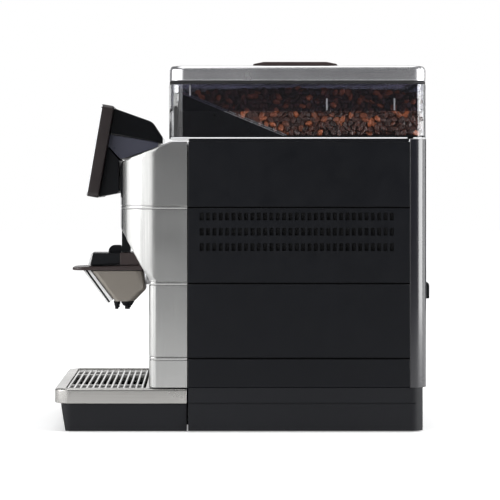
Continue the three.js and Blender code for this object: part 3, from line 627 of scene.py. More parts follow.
def side_panel(side, name):
    node = f"side_panel_{name}"
    low, high = extents(node)
    starts = [low.y + FIRST_SLOT + (k - 0.5) * SLOT_PITCH for k in range(SLOTS + 1)]
    columns = [low.y, low.y + 0.7, *starts, high.y - 0.7, high.y]
    rows = panel_rows(low.z, high.z)
    bm = bmesh.new()
    sheet = []
    for z, inset in rows:
        edge_inset = [0.6] + [0.0] * (len(columns) - 2) + [0.6]
        sheet.append([bm.verts.new((side * (HALF - inset - e), y, z)) for y, e in zip(columns, edge_inset)])
    slotted = {round(centre - CELL_HALF, 3) for centre in SLOT_ROWS}
    for r in range(len(rows) - 1):
        for c in range(len(columns) - 1):
            corners = (sheet[r][c], sheet[r][c + 1], sheet[r + 1][c + 1], sheet[r + 1][c])
            if round(rows[r][0], 3) in slotted and 2 <= c < 2 + SLOTS:
                y = (columns[c] + columns[c + 1]) / 2
                outline = centred_box(y, rows[r][0] + CELL_HALF, *SLOT, 0.9, 4)
                slot_ring(bm, corners, outline, side * HALF)
            else:
                bm.faces.new(corners)
    if side < 0:
        bmesh.ops.reverse_faces(bm, faces=bm.faces)
    piece(f"vented_{node}", bm, "chassis", BLACK, (node,), 0.35, SKIN, segments=2)

    # Painted shade: a near-black strip in the bottom of each seam groove stands for the shade inside it.
    bm = bmesh.new()
    for seam in SEAMS:
        points = rounded_box(low.y + 0.9, high.y - 0.9, seam - 0.9, seam + 0.9, 0.2, 2)
        side_prism(bm, points, side, HALF - 1.6, HALF - 1.2)
    piece(f"seam_shadow_{name}", bm, "chassis", SEAM_SHADE_BLACK, (), 0)

    points = rounded_box(low.y + 12, high.y - 12, SLOT_ROWS[2] - 11, SLOT_ROWS[0] + 11, 3)
    bm = side_prism(bmesh.new(), points, side, HALF - 5.6, HALF - 4.2)
    piece(f"vent_filter_{name}", bm, "chassis", FILTER, (), 0.3)


def rear_post(side, name):
    node = f"rear_post_{name}"
    low, high = extents(node)
    outer = HALF
    inner = HALF - CORNER
    corners = (
        (outer, low.y, 0.8), (outer, high.y, CORNER), (inner, high.y, 1.0),
        (inner, high.y - 4, 0.4), (outer - 4, high.y - 4, 18), (outer - 4, low.y, 0.4),
    )
    points = fillet([(side * x, y, r) for x, y, r in corners], 12)
    bm = prism(bmesh.new(), points, low.z, high.z, "z")
    piece(f"corner_{node}", bm, "chassis", POST_BLACK, (node,), 0.5)


def body():
    for side, name in SIDES.items():
        side_panel(side, name)
        rear_post(side, name)
    dress("base_housing", PAN_BLACK, 0.9)
    dress("rear_panel", GREY)
    dress("front_bulkhead", GREY)
    dress("deck_plate", BLACK, 0.8)
    dress("switch_housing", BLACK, 0.8)
    dress("power_switch", BROWN, 0.6)
    dress("power_inlet", TAUPE, 0.6)
    for end in ("front", "rear"):
        for name in SIDES.values():
            dress(f"foot_{end}_{name}", RUBBER, 1.2)


# ---- Hopper and beans ----


def hopper_plan(inset):
    low, high = extents("hopper_shell")
    radius = max(CORNER - inset, 1.5)
    return rounded_box(low.x + inset, high.x - inset, low.y + inset, high.y - inset, radius, 10)


def hopper_rings(levels):
    """The hopper's outline at (inset, height) pairs."""
    return [(hopper_plan(inset), z) for inset, z in levels]


def hopper_shell():
    low, high = extents("hopper_shell")
    levels = (
        (0.5, low.z), (0.1, low.z + 0.1), (0.0, low.z + 0.5), (0.0, high.z - 0.8),
        (0.3, high.z - 0.2), (1.0, high.z), (2.4, high.z), (3.0, high.z - 0.6),
        (3.0, low.z + 3.2), (4.2, low.z + 2.0),
    )
    bm = stack(bmesh.new(), hopper_rings(levels))
    obj = piece("clear_hopper", bm, "chassis", CLEAR, ("hopper_shell",), 0)
    obj.visible_shadow = False


def hopper_liner():
    low, high = extents("hopper_liner")
    outer, inner = 3.4, 4.9
    levels = ((outer, low.z + 0.5), (outer, high.z), (inner, high.z), (inner, low.z), (outer + 0.5, low.z))
    bm = closed_stack(bmesh.new(), hopper_rings(levels))
    obj = piece("smoked_liner", bm, "chassis", SMOKED, ("hopper_liner",), 0)
    obj.visible_shadow = False

    bm = bmesh.new()
    front = extents("hopper_shell")[0].y
    clips = ((29.5, high.z - 16, 15.0), (222.0, low.z + 1, 17.0), (317.0, low.z + 1, 17.0))
    for side in SIDES:
        for offset, z, height in clips:
            y = front + offset
            points = rounded_box(y - 1.1, y + 1.1, z, z + height, (0.3, 0.3, 1.0, 1.0), 4)
            side_prism(bm, points, side, HALF - 3.2, HALF - 2.3)
    piece("liner_clips", bm, "chassis", CLIP, (), 0.2)


def hopper_rim():
    low, high = extents("hopper_rim")
    levels = (
        (1.6, low.z), (0.8, low.z + 0.8), (0.8, high.z - 0.8),
        (1.6, high.z), (5.0, high.z), (5.0, low.z),
    )
    bm = closed_stack(bmesh.new(), hopper_rings(levels))
    piece("rim_seal", bm, "chassis", RUBBER, ("hopper_rim",), 0)


def slope_ends():
    """Top and foot of the funnel tray's slope, as (y, z)."""
    low, high = extents("hopper_funnel")
    floor_z = extents("hopper_shell")[0].z + 4.6
    return (low.y + 6, high.z), (54.0, floor_z)


def funnel_tray():
    low, high = extents("hopper_funnel")
    (top_y, top_z), (foot_y, foot_z) = slope_ends()
    profile = (
        (low.y, low.z, 1.0), (high.y, low.z, 1.0), (high.y, foot_z, 0.6),
        (foot_y, foot_z, 10.0), (top_y, top_z, 1.2), (low.y, top_z, 1.2),
    )
    ends = (low.x + 0.4, high.x - 0.4)
    obj = slab("funnel_tray", profile, 8, *ends, "chassis", TRAY_BLACK, ("hopper_funnel",), 0.8)
    well = bmesh.new()
    lathe(well, ((25, low.z - 5), (25, foot_z - 3), (32, foot_z + 4)), (20, 110), "z", 40)
    carve(obj, well)

    bm = bmesh.new()
    run = Vector((foot_y - top_y, foot_z - top_z)).normalized()
    up = Vector((-run.y, run.x))
    for side in SIDES:
        for lift, thick in ((0.5, 0.7), (3.0, 0.6)):
            start = Vector((top_y, top_z)) + up * lift + run * 2
            end = Vector((foot_y, foot_z)) + up * lift + run * 6
            strip = [start, end, end + up * thick, start + up * thick]
            side_prism(bm, strip, side, HALF - 8.2, HALF - 5.6)
    piece("slope_rails", bm, "chassis", CLIP, (), 0.2)


BEAN_HALF = 5.7  # half the length of a bean
BEAN_WIDTH = 4.1  # half its width
BEAN_BACK = 3.4  # height of its domed back
BEAN_BELLY = 1.5  # depth of its belly, and of the crease in it


def bean_shape():
    """One coffee bean: domed back, flat belly and a crease down the belly."""
    around, along = 12, 7
    points = [(-BEAN_HALF, 0.0, 0.0)]
    for ring in range(1, along):
        angle = math.pi * ring / along
        x = -BEAN_HALF * math.cos(angle)
        width = BEAN_WIDTH * math.sin(angle) ** 0.85
        for k in range(around):
            turn = 2 * math.pi * k / around
            y = width * math.cos(turn)
            lift = math.sin(turn)
            z = BEAN_BACK * math.sin(angle) ** 0.8 * lift
            if lift < 0:
                crease = math.exp(-((y / 0.9) ** 2)) * BEAN_BELLY * math.sin(angle)
                z = BEAN_BELLY * math.sin(angle) ** 0.6 * lift + crease
            points.append((x, y, z))
    points.append((BEAN_HALF, 0.0, 0.0))
    faces = [(0, 1 + (k + 1) % around, 1 + k) for k in range(around)]
    for ring in range(along - 2):
        first, second = 1 + ring * around, 1 + (ring + 1) * around
        for k in range(around):
            after = (k + 1) % around
            faces.append((first + k, first + after, second + after, second + k))
    last = len(points) - 1
    first = last - around
    faces += [(last, first + k, first + (k + 1) % around) for k in range(around)]
    return [Vector(p) for p in points], faces


def bean_places(rng):
    """(place, the direction the bean's flat side may face) for beans against the walls and on top."""
    (top_y, top_z), (foot_y, foot_z) = slope_ends()
    low, high = extents("coffee_beans")

    def ground(y):
        if y > foot_y:
            return foot_z
        return foot_z + (foot_y - y) * (top_z - foot_z) / (foot_y - top_y)

    def heap(y):
        return low_heap + (high.z - low_heap) * math.sin(math.pi * (y - low.y) / (high.y - low.y))

    low_heap = high.z - 7
    places = []
    step_y, step_z = 8.4, 6.3
    for layer, depth in enumerate((3.6, 8.4)):
        for side in SIDES:
            for row in range(12):
                shift = (row + layer) % 2 * step_y / 2
                for column in range(42):
                    y = low.y + 6 + column * step_y + shift + rng.uniform(-1.4, 1.4)
                    z = foot_z + 4 + row * step_z + rng.uniform(-1.2, 1.2)
                    if y < high.y - 6 and ground(y) + 3.4 < z < heap(y) - 2:
                        x = side * (high.x - depth + rng.uniform(-0.5, 0.5))
                        places.append((Vector((x, y, z)), Vector((side, 0, 0))))
        for row in range(12):
            for column in range(36):
                x = low.x + 8 + column * 8.6 + row % 2 * 4.3 + rng.uniform(-1.4, 1.4)
                z = foot_z + 4 + row * step_z + rng.uniform(-1.2, 1.2)
                if abs(x) < high.x - 12 and z < heap(high.y) - 2:
                    places.append((Vector((x, high.y - depth, z)), Vector((0, 1, 0))))
    for row in range(40):
        for column in range(35):
            x = low.x + 7 + column * 8.8 + row % 2 * 4.4 + rng.uniform(-1.8, 1.8)
            y = low.y + 7 + row * 8.6 + rng.uniform(-1.8, 1.8)
            if abs(x) < high.x - 6 and y < high.y - 6:
                places.append((Vector((x, y, heap(y) - 3.4 + rng.uniform(-1, 1))), Vector((0, 0, 1))))
    return places


def beans():
    rng = random.Random(7)
    shape, shape_faces = bean_shape()
    vertices = []
    faces = []
    for at, out in bean_places(rng):
        lying = out.to_track_quat("Z", "Y").to_matrix()
        spin = Matrix.Rotation(rng.uniform(0, 2 * math.pi), 3, "Z")
        lean = Matrix.Rotation(rng.gauss(0, 0.5), 3, "X") @ Matrix.Rotation(rng.gauss(0, 0.28), 3, "Y")
        over = Matrix.Rotation(math.pi if rng.random() < 0.45 else 0, 3, "X")
        size = rng.uniform(0.88, 1.06)
        turn = lying @ spin @ lean @ over
        base = len(vertices)
        vertices += [(at + turn @ (p * size)) * MM for p in shape]
        faces += [tuple(base + k for k in face) for face in shape_faces]
    mesh = bpy.data.meshes.new("loose_beans")
    mesh.from_pydata(vertices, [], faces)
    mesh.shade_smooth()
    mesh.materials.append(BEANS)
    obj = add_object("loose_beans", mesh)
    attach(obj, "chassis")
    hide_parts("coffee_beans")

    low, high = extents("coffee_beans")
    (top_y, _), (foot_y, foot_z) = slope_ends()
    core = (
        (foot_y + 6, foot_z + 1, 4), (high.y - 11, foot_z + 1, 2),
        (high.y - 11, high.z - 14, 6), (top_y + 24, high.z - 14, 4),
    )
    slab("bean_core", core, 7, low.x + 11, high.x - 11, "chassis", BEANS, (), 2)


# ---- Lid ----

HANDLE_HALF = 62.5  # half the length of the raised handle
HANDLE_WIDTH = 15.0  # half its width
LID_EDGE = 20.9  # height of the lid's upper edge over its foot
SCOOP = 14.0  # the scoop under the handle: shorter than the handle and wider by this much


def lid():
    low = extents("hopper_lid")[0]
    edge = low.z + LID_EDGE
    handle_low, handle_high = extents("lid_handle")
    middle = (handle_low.y + handle_high.y) / 2
    levels = [
        (9.0, low.z + 2), (3.4, low.z + 2), (2.6, low.z + 0.6), (1.4, low.z),
        (0.6, low.z + 0.5), (0.4, low.z + 1.4), (0.4, edge - 5.4), (0.7, edge - 4.7),
        (1.9, edge - 2.0), (3.0, edge - 0.7), (5.0, edge),
    ]
    for inset in range(15, 151, 15):
        levels.append((inset, edge + 3.0 * math.sin(math.pi / 2 * min((inset - 5) / 95, 1))))
    bm = stack(bmesh.new(), hopper_rings(levels))
    obj = piece("brushed_lid", bm, "lid", LID_SILVER, ("hopper_lid",), 0)
    scoop = bmesh.new()
    rings = []
    for inset, z in ((10, edge - 6), (5, edge - 5), (1.5, edge - 2.5), (0, edge + 0.5), (-1.5, edge + 20)):
        spread = HANDLE_WIDTH + SCOOP - inset
        half = HANDLE_HALF - SCOOP - inset
        rings.append((rounded_box(-spread, spread, middle - half, middle + half, 12 - inset / 2), z))
    stack(scoop, rings)
    carve(obj, scoop)

    bm = bmesh.new()
    for end in (1, -1):
        ramp = (
            (middle + end * (HANDLE_HALF - 13), edge - 1, 0),
            (middle + end * (HANDLE_HALF + 20), edge - 1, 0),
            (middle + end * (HANDLE_HALF + 12), edge + 2.6, 10),
            (middle + end * (HANDLE_HALF + 1), edge + 9.0, 3),
            (middle + end * (HANDLE_HALF - 13), edge + 8.8, 0.6),
        )
        prism(bm, fillet(ramp, 5), -HANDLE_WIDTH - 1, HANDLE_WIDTH + 1)
    piece("handle_ramps", bm, "lid", LID_SILVER, (), 1.2)

    grip = (
        (handle_low.y, handle_low.z, 0.6),
        (handle_high.y, handle_low.z, 0.6),
        (handle_high.y - 1, handle_low.z + 2.4, 1.0),
        (handle_high.y - 16, handle_high.z, 18),
        (handle_low.y + 16, handle_high.z, 18),
        (handle_low.y + 1, handle_low.z + 2.4, 1.0),
    )
    slab("handle_grip", grip, 6, handle_low.x, handle_high.x, "lid", BROWN, ("lid_handle",), 1.1)


# ---- Front door ----

CORNER_START = -122.0  # the door's sides are flat behind this
HEAD_RADIUS = 53.0  # of the head's large upright corners
COLUMN_RADIUS = 11.0
SHELL_EDGE = 127.0  # the silver shells reach in this far
COLUMN_CORNER = 213.6  # where the column meets the slanted underside
NOSE_LOW = 286.6  # the head's upright front runs between these heights
NOSE_HIGH = 379.4
TOP_FRONT = -103.7  # where the head's slope meets its top
SLOT_HALF = 24.0  # the slot that the spout's carriage runs in
SLOT_LOW = 88.0
SLOT_HIGH = 296.0


def door_rows():
    """(front, height, inset, edge radius) of every line round the door, from the foot to the top."""
    nose = extents("door_front_panel")[0].y
    low, high = extents("door_shell_right")
    column = extents("door_splash_panel")[0].y + 2.1
    corners = (
        (high.y, low.z, 0), (column, low.z, 0), (column, COLUMN_CORNER, 3),
        (nose, NOSE_LOW, 14), (nose, NOSE_HIGH, 9), (TOP_FRONT, high.z, 10),
        (high.y, high.z, 0),
    )
    chain = fillet(corners, 7)[1:-1]
    rows = [(p.x, p.y, 0.0) for p in chain]
    rows += [(column, z, 0.0) for z in (SLOT_LOW, 150.0)]
    rows += [(nose, z, 0.0) for z in (SLOT_HIGH, 345.0)]
    for z in (218.0, 232.0, 250.0, 268.0):
        share = (z - COLUMN_CORNER) / (NOSE_LOW - COLUMN_CORNER)
        rows.append((column + (nose - column) * share, z, 0.0))
    for z in (386.0, 393.0, 400.0):
        share = (z - NOSE_HIGH) / (high.z - NOSE_HIGH)
        rows.append((nose + (TOP_FRONT - nose) * share, z, 0.0))
    for seam in SEAMS:
        front = nose if seam > NOSE_LOW else column
        for away, inset in ((3.3, 0.0), (2.8, 1.2), (2.2, 1.2), (1.7, 0.45), (0.9, 0.12)):
            rows += [(front, seam - away, inset), (front, seam + away, inset)]
    rows.sort(key=lambda row: row[1])
    return [(front, z, inset, edge_radius(front, z, column)) for front, z, inset in rows]


def edge_radius(front, z, column):
    """Radius between the head's round corner and its sloped faces; the column's own corner below."""
    if z > (NOSE_LOW + NOSE_HIGH) / 2:
        return 5.0
    return max(3.0, COLUMN_RADIUS - max(column - front, 0) * 0.9)


def corner_point(front, inset, edge, turn):
    """Where the door's plan outline faces `turn` from the side towards the front."""
    sine = -(front + edge - CORNER_START) / (HEAD_RADIUS - edge)
    if sine <= 0:
        centre = Vector((HALF - edge, front + edge))
    elif turn <= math.asin(min(sine, 1)) + 1e-6:
        centre = Vector((HALF - HEAD_RADIUS, CORNER_START))
        edge = HEAD_RADIUS
    else:
        across = (HEAD_RADIUS - edge) * math.sqrt(max(1 - sine**2, 0))
        centre = Vector((HALF - HEAD_RADIUS + across, front + edge))
    return centre + Vector((math.cos(turn), -math.sin(turn))) * (edge - inset)


def front_at(front, inset, edge, x):
    """The plan outline's Y at a distance `x` from the middle."""
    turns = [math.pi / 2 * k / 90 for k in range(91)]
    points = [corner_point(front, inset, edge, turn) for turn in turns]
    if x <= points[-1].x:
        return front + inset
    for wide, narrow in zip(points, points[1:]):
        if narrow.x <= x <= wide.x:
            share = (x - narrow.x) / max(wide.x - narrow.x, 1e-9)
            return narrow.y + (wide.y - narrow.y) * share
    return points[0].y


def door_shell(side, name):
    node = f"door_shell_{name}"
    rear = extents(node)[1].y
    turns = [math.pi / 2 * k / 20 for k in range(21)]
    rows = []
    for front, z, inset, edge in door_rows():
        row = []
        for turn in turns:
            point = corner_point(front, inset, edge, turn)
            if point.x < SHELL_EDGE:
                point = Vector((SHELL_EDGE, front_at(front, inset, edge, SHELL_EDGE)))
            row.append(point)
        last = Vector((SHELL_EDGE, front_at(front, inset, edge, SHELL_EDGE)))
        side_points = [Vector((HALF - inset, y)) for y in (rear, (rear + row[0].y) / 2)]
        rows.append([Vector((side * p.x, p.y, z)) for p in [*side_points, *row, last]])
    bm = bmesh.new()
    sheet = grid(bm, rows)
    corner = bm.verts.new((side * SHELL_EDGE, rear, rows[-1][0].z))
    bm.faces.new([*sheet[-1], corner])
    bmesh.ops.remove_doubles(bm, verts=bm.verts, dist=0.02)
    bmesh.ops.dissolve_degenerate(bm, edges=bm.edges, dist=0.01)
    outward(bm, Vector((side, 0, 0)))
    sheet_piece(f"silver_{node}", bm, "front_door", SILVER, (node,), 0.8)


def outward(bm, way):
    """Turns the sheet so that its faces look the given way."""
    bmesh.ops.recalc_face_normals(bm, faces=bm.faces)
    if sum(f.normal.dot(way) * f.calc_area() for f in bm.faces) < 0:
        bmesh.ops.reverse_faces(bm, faces=bm.faces)


def sheet_piece(name, bm, body, material, stands_for, edge):
    """An open sheet with its faces pointing out, given the shell's thickness inwards."""
    bm.transform(Matrix.Scale(MM, 4))
    mesh = to_mesh(name, bm)
    shade(mesh, 32)
    mesh.materials.append(material)
    obj = add_object(name, mesh)
    thicken(obj, SKIN)
    soften(obj, edge, 2, 50)
    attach(obj, body)
    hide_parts(*stands_for)


def centre_row(front, z, inset, edge):
    """One line across the door's middle, from the right edge to the left, through the slot's edges."""
    across = [SHELL_EDGE - 0.3, 124.0, 121.0, 117.0, 113.0, 110.0, 107.0, 70.0, SLOT_HALF, 0.0]
    half = [Vector((x, front_at(front, inset, edge, x), z)) for x in across]
    return half + [Vector((-p.x, p.y, z)) for p in reversed(half[:-1])]


def centre_sheet(rows, rear=None):
    """The door's middle, open at the slot; `rear` adds the flat top back to that depth."""
    bm = bmesh.new()
    lines = [centre_row(*row) for row in rows]
    if rear is not None:
        lines.append([Vector((p.x, rear, p.z)) for p in lines[-1]])
    grid(bm, lines)
    middles = [(face, face.calc_center_median()) for face in bm.faces]
    gone = [face for face, at in middles if abs(at.x) < SLOT_HALF and SLOT_LOW < at.z < SLOT_HIGH]
    bmesh.ops.delete(bm, geom=gone, context="FACES")
    outward(bm, Vector((0, -1, 0)))
    return bm


def door_middle():
    split = extents("door_splash_panel")[1].z
    rear = extents("door_front_panel")[1].y
    rows = door_rows()
    lower = [row for row in rows if row[1] < split]
    upper = [row for row in rows if row[1] > split]
    below, above = lower[-1], upper[0]
    share = (split - below[1]) / (above[1] - below[1])
    front = below[0] + (above[0] - below[0]) * share
    edge = below[3] + (above[3] - below[3]) * share
    bm = centre_sheet([*lower, (front, split, 0, edge)])
    sheet_piece("splash_panel", bm, "front_door", SPLASH, ("door_splash_panel",), 0.3)
    bm = centre_sheet([(front, split + 0.4, 0, edge), *upper], rear)
    sheet_piece("front_panel", bm, "front_door", GLOSS, ("door_front_panel",), 0.3)


def door_inside():
    low, high = extents("door_shell_right")
    outer = rounded_box(-HALF + 2.8, HALF - 2.8, low.z + 2, high.z - 2.8, 2, 3)
    inner = rounded_box(-HALF + 9, HALF - 9, low.z + 10, high.z - 10, 2, 3)
    levels = ((outer, high.y - 2.5), (outer, high.y - 0.2), (inner, high.y - 0.2), (inner, high.y - 2.5))
    bm = closed_stack(bmesh.new(), levels, "y")
    column = extents("door_splash_panel")[0].y + 5
    box(bm, -HALF + 3, HALF - 3, column, high.y - 2.7, low.z + 0.2, low.z + 2.2)
    piece("door_back_frame", bm, "front_door", BLACK, (), 0.4)
    dress("door_inner_panel", GREY, 0.6)
    dress("spout_rail", STEEL, 0.6)


def door():
    for side, name in SIDES.items():
        door_shell(side, name)
    door_middle()
    door_inside()


# ---- Display ----

DISPLAY_HALF = 108.0
DISPLAY_LENGTH = 133.7
DISPLAY_DEPTH = 17.9
DISPLAY_CORNER = 7.0
DISPLAY_FOOT = (-224.6, 331.4)


def leaning():
    """Takes the upright display, built at the origin, to its place on the door."""
    return Matrix.Translation((0, *DISPLAY_FOOT)) @ Matrix.Rotation(-TILT, 4, "X")


def screen_rings(levels):
    """The display's outline at (inset, depth) pairs."""
    rings = []
    for inset, depth in levels:
        half = DISPLAY_HALF - inset
        radius = max(DISPLAY_CORNER - inset, 1.0)
        rings.append((rounded_box(-half, half, inset, DISPLAY_LENGTH - inset, radius, 8), depth))
    return rings


def behind_display(z):
    """Y of the display's leaning back, at a height."""
    foot_y = DISPLAY_FOOT[0] + (DISPLAY_DEPTH + 0.3) * math.cos(TILT)
    foot_z = DISPLAY_FOOT[1] - (DISPLAY_DEPTH + 0.3) * math.sin(TILT)
    return foot_y + (z - foot_z) * math.tan(TILT)


def cup_icon(bm, x, z, size):
    """A plain cup and saucer."""
    cup = fillet(
        (
            (x - size, z + size * 0.75, 0.3),
            (x - size * 0.7, z - size * 0.5, size * 0.4),
            (x + size * 0.5, z - size * 0.5, size * 0.4),
            (x + size * 0.8, z + size * 0.75, 0.3),
        ),
        5,
    )
    low, high = 0.16, 0.24
    prism(bm, cup, low, high, "y")
    saucer = rounded_box(x - size * 1.1, x + size * 0.9, z - size, z - size * 0.75, size * 0.12, 3)
    prism(bm, saucer, low, high, "y")
    outer, inner = (circle(x + size * 0.85, z + size * 0.25, size * share, 20) for share in (0.42, 0.26))
    closed_stack(bm, ((outer, low), (outer, high), (inner, high), (inner, low)), "y")


def display():
    levels = (
        (1.6, 0.6), (0.7, 0.9), (0.2, 1.7), (0.0, 2.6), (0.0, DISPLAY_DEPTH - 2.2),
        (0.6, DISPLAY_DEPTH - 0.8), (2.0, DISPLAY_DEPTH),
    )
    bm = stack(bmesh.new(), screen_rings(levels), "y")
    piece("display_case", bm, "front_door", FRAME_BROWN, ("display_frame",), 0, matrix=leaning())

    trim = ((2.4, 0.2), (1.0, 0.2), (0.5, 0.5), (0.25, 1.3), (1.6, 1.6), (2.4, 1.2))
    bm = closed_stack(bmesh.new(), screen_rings(trim), "y")
    piece("display_trim", bm, "front_door", CHROME, (), 0, matrix=leaning())

    glass = ((2.8, 0.77), (2.7, 0.45), (3.2, 0.15), (3.6, 0.15))
    bm = stack(bmesh.new(), screen_rings(glass), "y")
    piece("display_screen", bm, "front_door", SCREEN, ("display_glass",), 0, matrix=leaning())

    tiles = bmesh.new()
    icons = bmesh.new()
    for column in range(4):
        for row in range(2):
            x = -69 + column * 46.0
            z = 42 + row * 48.0
            prism(tiles, centred_box(x, z, 38, 38, 4, 5), 0.08, 0.14, "y")
            cup_icon(icons, x, z, 6.5 + 1.6 * row)
    piece("screen_tiles", tiles, "front_door", TILE, (), 0, matrix=leaning())
    piece("screen_icons", icons, "front_door", ICON, (), 0, matrix=leaning())


def display_covers():
    """The hood over the display's back, the barrel it pivots on and the cover below."""
    half = 92.0
    hood = (
        (behind_display(457.4), 457.4, 1.2),
        (-129.5, 437.7, 18), (-114.9, 415.2, 5), (-114.9, 405.9, 1.0), (-128.0, 409.9, 1.0),
        (behind_display(420.6), 420.6, 0.8),
    )
    slab("rear_hood", hood, 9, -half, half, "front_door", GLOSS, ("display_hood",), 2.4, 5)

    barrel = (
        (behind_display(419.6), 419.6, 0.6),
        (-128.0, 409.3, 1.0), (-122.0, 407.4, 0.5), (-122.0, 402.4, 0.5), (-128.0, 399.9, 1.0),
        (-165.4, 387.2, 1.0), (-176.0, 384.4, 1.0),
        (behind_display(403.0), 403.0, 0.6),
    )
    narrow = half - 3.2
    slab("pivot_barrel", barrel, 4, -narrow, narrow, "front_door", NECK, ("display_pivot_barrel",), 1.6, 4)

    cover = (
        (behind_display(402.2), 402.2, 0.6),
        (behind_display(330.2), 330.2, 1.0),
        (-178.4, 335.6, 5.0), (-178.4, 383.2, 3.0),
    )
    slab("lower_cover", cover, 5, -half, half, "front_door", BLACK, ("display_lower_cover",), 1.8, 4)


# ---- Spout ----


def spout_shell():
    low, high = extents("spout_body")
    half = high.x
    levels = (
        (-188.6, -159.8, low.z), (-187.6, -158.2, low.z + 0.5), (-188.0, -156.4, low.z + 1.6),
        (-199.7, -141.8, 192.9), (-200.9, -141.6, 194.4),
        (low.y + 0.6, -144.3, high.z - 0.8),
        (low.y + 0.9, -144.6, high.z - 0.2),
        (low.y + 1.8, -145.4, high.z),
    )
    radii = (7.5, 7.5, 12, 12)
    rings = [(rounded_box(-half, half, front, rear, radii, 9), z) for front, rear, z in levels]
    piece("spout_shell", stack(bmesh.new(), rings), "spout", TAUPE, ("spout_body",), 0)
    joint = rounded_box(-half - 0.05, half + 0.05, low.y + 0.4, -144.2, radii, 9)
    bm = prism(bmesh.new(), joint, high.z - 0.9, high.z - 0.2, "z")
    piece("spout_joint", bm, "spout", BLACK, (), 0)


def finger_plate():
    low, high = extents("spout_finger_plate")
    front_y, front_z = -247.4, 226.2
    level_from = -179.0  # the plate slopes up to here, and is level behind it
    slope = (high.z - front_z) / (level_from - front_y)

    def top(y):
        return min(front_z + (y - front_y) * slope, high.z)

    def ring(inset, level):
        radii = (16 - inset, 16 - inset, 2, 2)
        plan = rounded_box(low.x + inset, high.x - inset, low.y + inset, high.y - inset, radii, 12)
        return [Vector((p.x, p.y, level(p.y))) for p in plan]

    rings = [
        ring(1.6, lambda y: low.z),
        ring(0.4, lambda y: low.z + 0.35),
        ring(0.0, lambda y: low.z + 1.1),
        ring(0.0, lambda y: top(y) - 1.2),
        ring(0.5, lambda y: top(y) - 0.35),
        ring(1.7, top),
    ]
    piece("finger_plate", solid(bmesh.new(), rings), "spout", BROWN, ("spout_finger_plate",), 0)


def top_housing():
    low, high = extents("spout_rear_cover")
    roof = high.z - 0.5
    cover = ((-225.2, 229.6, 0.6), (-179.4, 232.8, 0.4), (-179.4, roof, 1.6), (-220.8, roof, 1.2))
    bm = prism(bmesh.new(), fillet(cover, 5), -33, 33)
    plinth = ((-222.0, 227.9, 0.3), (-179.4, 229.8, 0.3), (-179.4, 236, 0.3), (-222.0, 236, 0.3))
    prism(bm, fillet(plinth, 2), -28, 28)
    dome = (
        (-197.1, roof - 3, 0.5), (-179.5, roof - 3, 0.5), (-177.2, roof + 4, 0.5),
        (-178.6, 258.1, 2.5), (-197.1, 258.1, 9.0),
    )
    prism(bm, fillet(dome, 8), -9, 9)
    riser = ((-177.0, roof + 1.2, 0.8), (-165.0, roof + 1.2, 0.8), (-165.0, 290, 1.5), (-177.0, 290, 1.5))
    prism(bm, fillet(riser, 4), -20, 20)
    piece("top_housing", bm, "spout", BLACK, ("spout_top_housing",), 0.9)

    strip = ((-226.0, 229.4, 0.4), (-222.9, 229.6, 0.4), (-218.5, roof - 0.1, 0.4), (-221.4, roof - 0.1, 0.6))
    slab("top_housing_strip", strip, 3, -34, 34, "spout", PEARL, (), 0.8)

    cover = (
        (low.y, low.z, 0.5), (high.y, low.z, 0.5), (high.y, 230.6, 0.8), (-154.8, high.z, 2.0),
        (low.y, high.z, 0.5),
    )
    slab("rear_cover", cover, 5, low.x, high.x, "spout", BROWN, ("spout_rear_cover",), 1.2)


def slanted_trim():
    """Two bright blades with a black one between them, down the slanted front of the spout."""
    low, high = extents("spout_front_trim")

    def blade(name, from_front, to_front, foot, material, width, stands_for=()):
        outline = (
            (low.y + from_front, high.z, 0.3), (low.y + to_front, high.z, 0.3), (*foot[1], 0.4),
            (*foot[0], 0.6),
        )
        slab(name, outline, 3, -width, width, "spout", material, stands_for, 0.5)

    # The front blade is part of the trim, but its pearl white is a painted highlight of the trim's lit front
    # face.
    blade("front_trim", 0.0, 3.0, ((-198.0, low.z), (-195.4, low.z)), PEARL, high.x, ("spout_front_trim",))
    blade("front_trim_inlay", 3.2, 6.2, ((-195.2, low.z + 0.3), (-193.6, 175.2)), GLOSS, high.x - 0.6)
    blade("front_trim_rear", 6.4, 10.6, ((-193.4, 175.4), (-189.8, 178.0)), PEARL, high.x)


def spout():
    spout_shell()
    finger_plate()
    top_housing()
    slanted_trim()
    dress("spout_carriage", STEEL, 0.8)


def nozzles():
    for row in ("front", "rear"):
        for name in SIDES.values():
            node = f"nozzle_{row}_{name}"
            low, high = extents(node)
            centre = ((low.x + high.x) / 2, (low.y + high.y) / 2)
            wide = (high.x - low.x) / 2
            tip = 2.6 if row == "front" else 3.8
            profile = (
                (1.1, high.z - 3), (1.5, low.z + 3), (1.6, low.z + 0.3), (2.0, low.z),
                (tip - 0.3, low.z + 0.2), (tip, low.z + 0.8), (tip + 0.2, low.z + 4.6),
                ((tip + wide) / 2, low.z + 5.4), (wide - 0.8, high.z - 3.0),
                (wide - 0.1, high.z - 2.2), (wide, high.z),
            )
            bm = lathe(bmesh.new(), profile, centre, "z", 32)
            piece(f"outlet_{row}_{name}", bm, "spout", BLACK, (node,), 0)


# ---- Drip tray ----


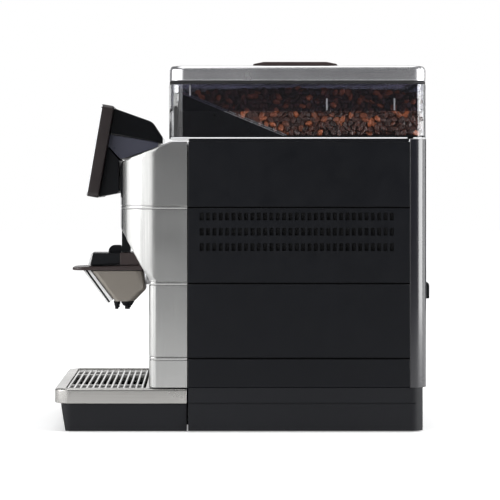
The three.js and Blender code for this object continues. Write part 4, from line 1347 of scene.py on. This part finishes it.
def tray_rim():
    low, high = extents("tray_rim")
    hole_rear = -126.0

    def outer(inset):
        rear = high.y - inset * 0.3
        return rounded_box(low.x + inset, high.x - inset, low.y + inset, rear, (20, 20, 1, 1), 10)

    def hole(inset):
        return rounded_box(low.x + inset, high.x - inset, low.y + inset + 3, hole_rear - inset, 3, 10)

    rings = (
        (outer(1.4), low.z), (outer(0.5), low.z + 0.4), (outer(0.1), low.z + 1.4),
        (outer(0.1), high.z - 3.2), (outer(0.7), high.z - 1.4), (outer(2.0), high.z - 0.3),
        (outer(3.6), high.z), (hole(11.0), high.z), (hole(12.0), high.z - 0.8),
        (hole(12.0), low.z + 0.6), (hole(11.4), low.z),
    )
    bm = closed_stack(bmesh.new(), rings)
    piece("silver_tray_rim", bm, "drip_tray", RIM_SILVER, ("tray_rim",), 0)
    dress("tray_pan", PAN_BLACK, 1.2)


def grate():
    low, high = extents("drip_grate")
    bars, pitch = 13, 8.77
    first = low.y + 1.3
    last = first + (bars - 1) * pitch
    top = high.z
    bm = bmesh.new()
    for k in range(bars):
        y = first + k * pitch
        section = rounded_box(y - 1.3, y + 1.3, top - 5, top, (0.4, 0.4, 1.0, 1.0), 5)
        prism(bm, section, low.x + 0.3, high.x - 0.3)
    for x in (low.x + 3, -124.0, -78.0, 78.0, 124.0, high.x - 3):
        section = rounded_box(x - 2, x + 2, top - 7, top - 0.5, 0.8, 3)
        prism(bm, section, first - 1, last + 1, "y")
    piece("bar_grate", bm, "grate", BRIGHT, ("drip_grate",), 0)


# ---- Inside the body ----


def inside():
    looks = {
        "boiler": STEEL,
        "grinder_motor": STEEL,
        "grinder_burr": STEEL,
        "grinder_body": WHITE,
        "brew_unit_frame": WHITE,
        "brew_piston": BRASS,
        "grounds_container": BLACK,
        "water_tank": CLEAR,
        "water_pump": BRASS,
        "water_hose": HOSE,
        "control_board": BOARD,
        "cooling_fan_frame": BLACK,
        "cooling_fan_rotor": BLACK,
    }
    for node, material in looks.items():
        dress(node, material, 0.5)


camera()
studio()
floor()
body()
hopper_shell()
hopper_liner()
hopper_rim()
funnel_tray()
beans()
lid()
door()
display()
display_covers()
spout()
nozzles()
tray_rim()
grate()
inside()
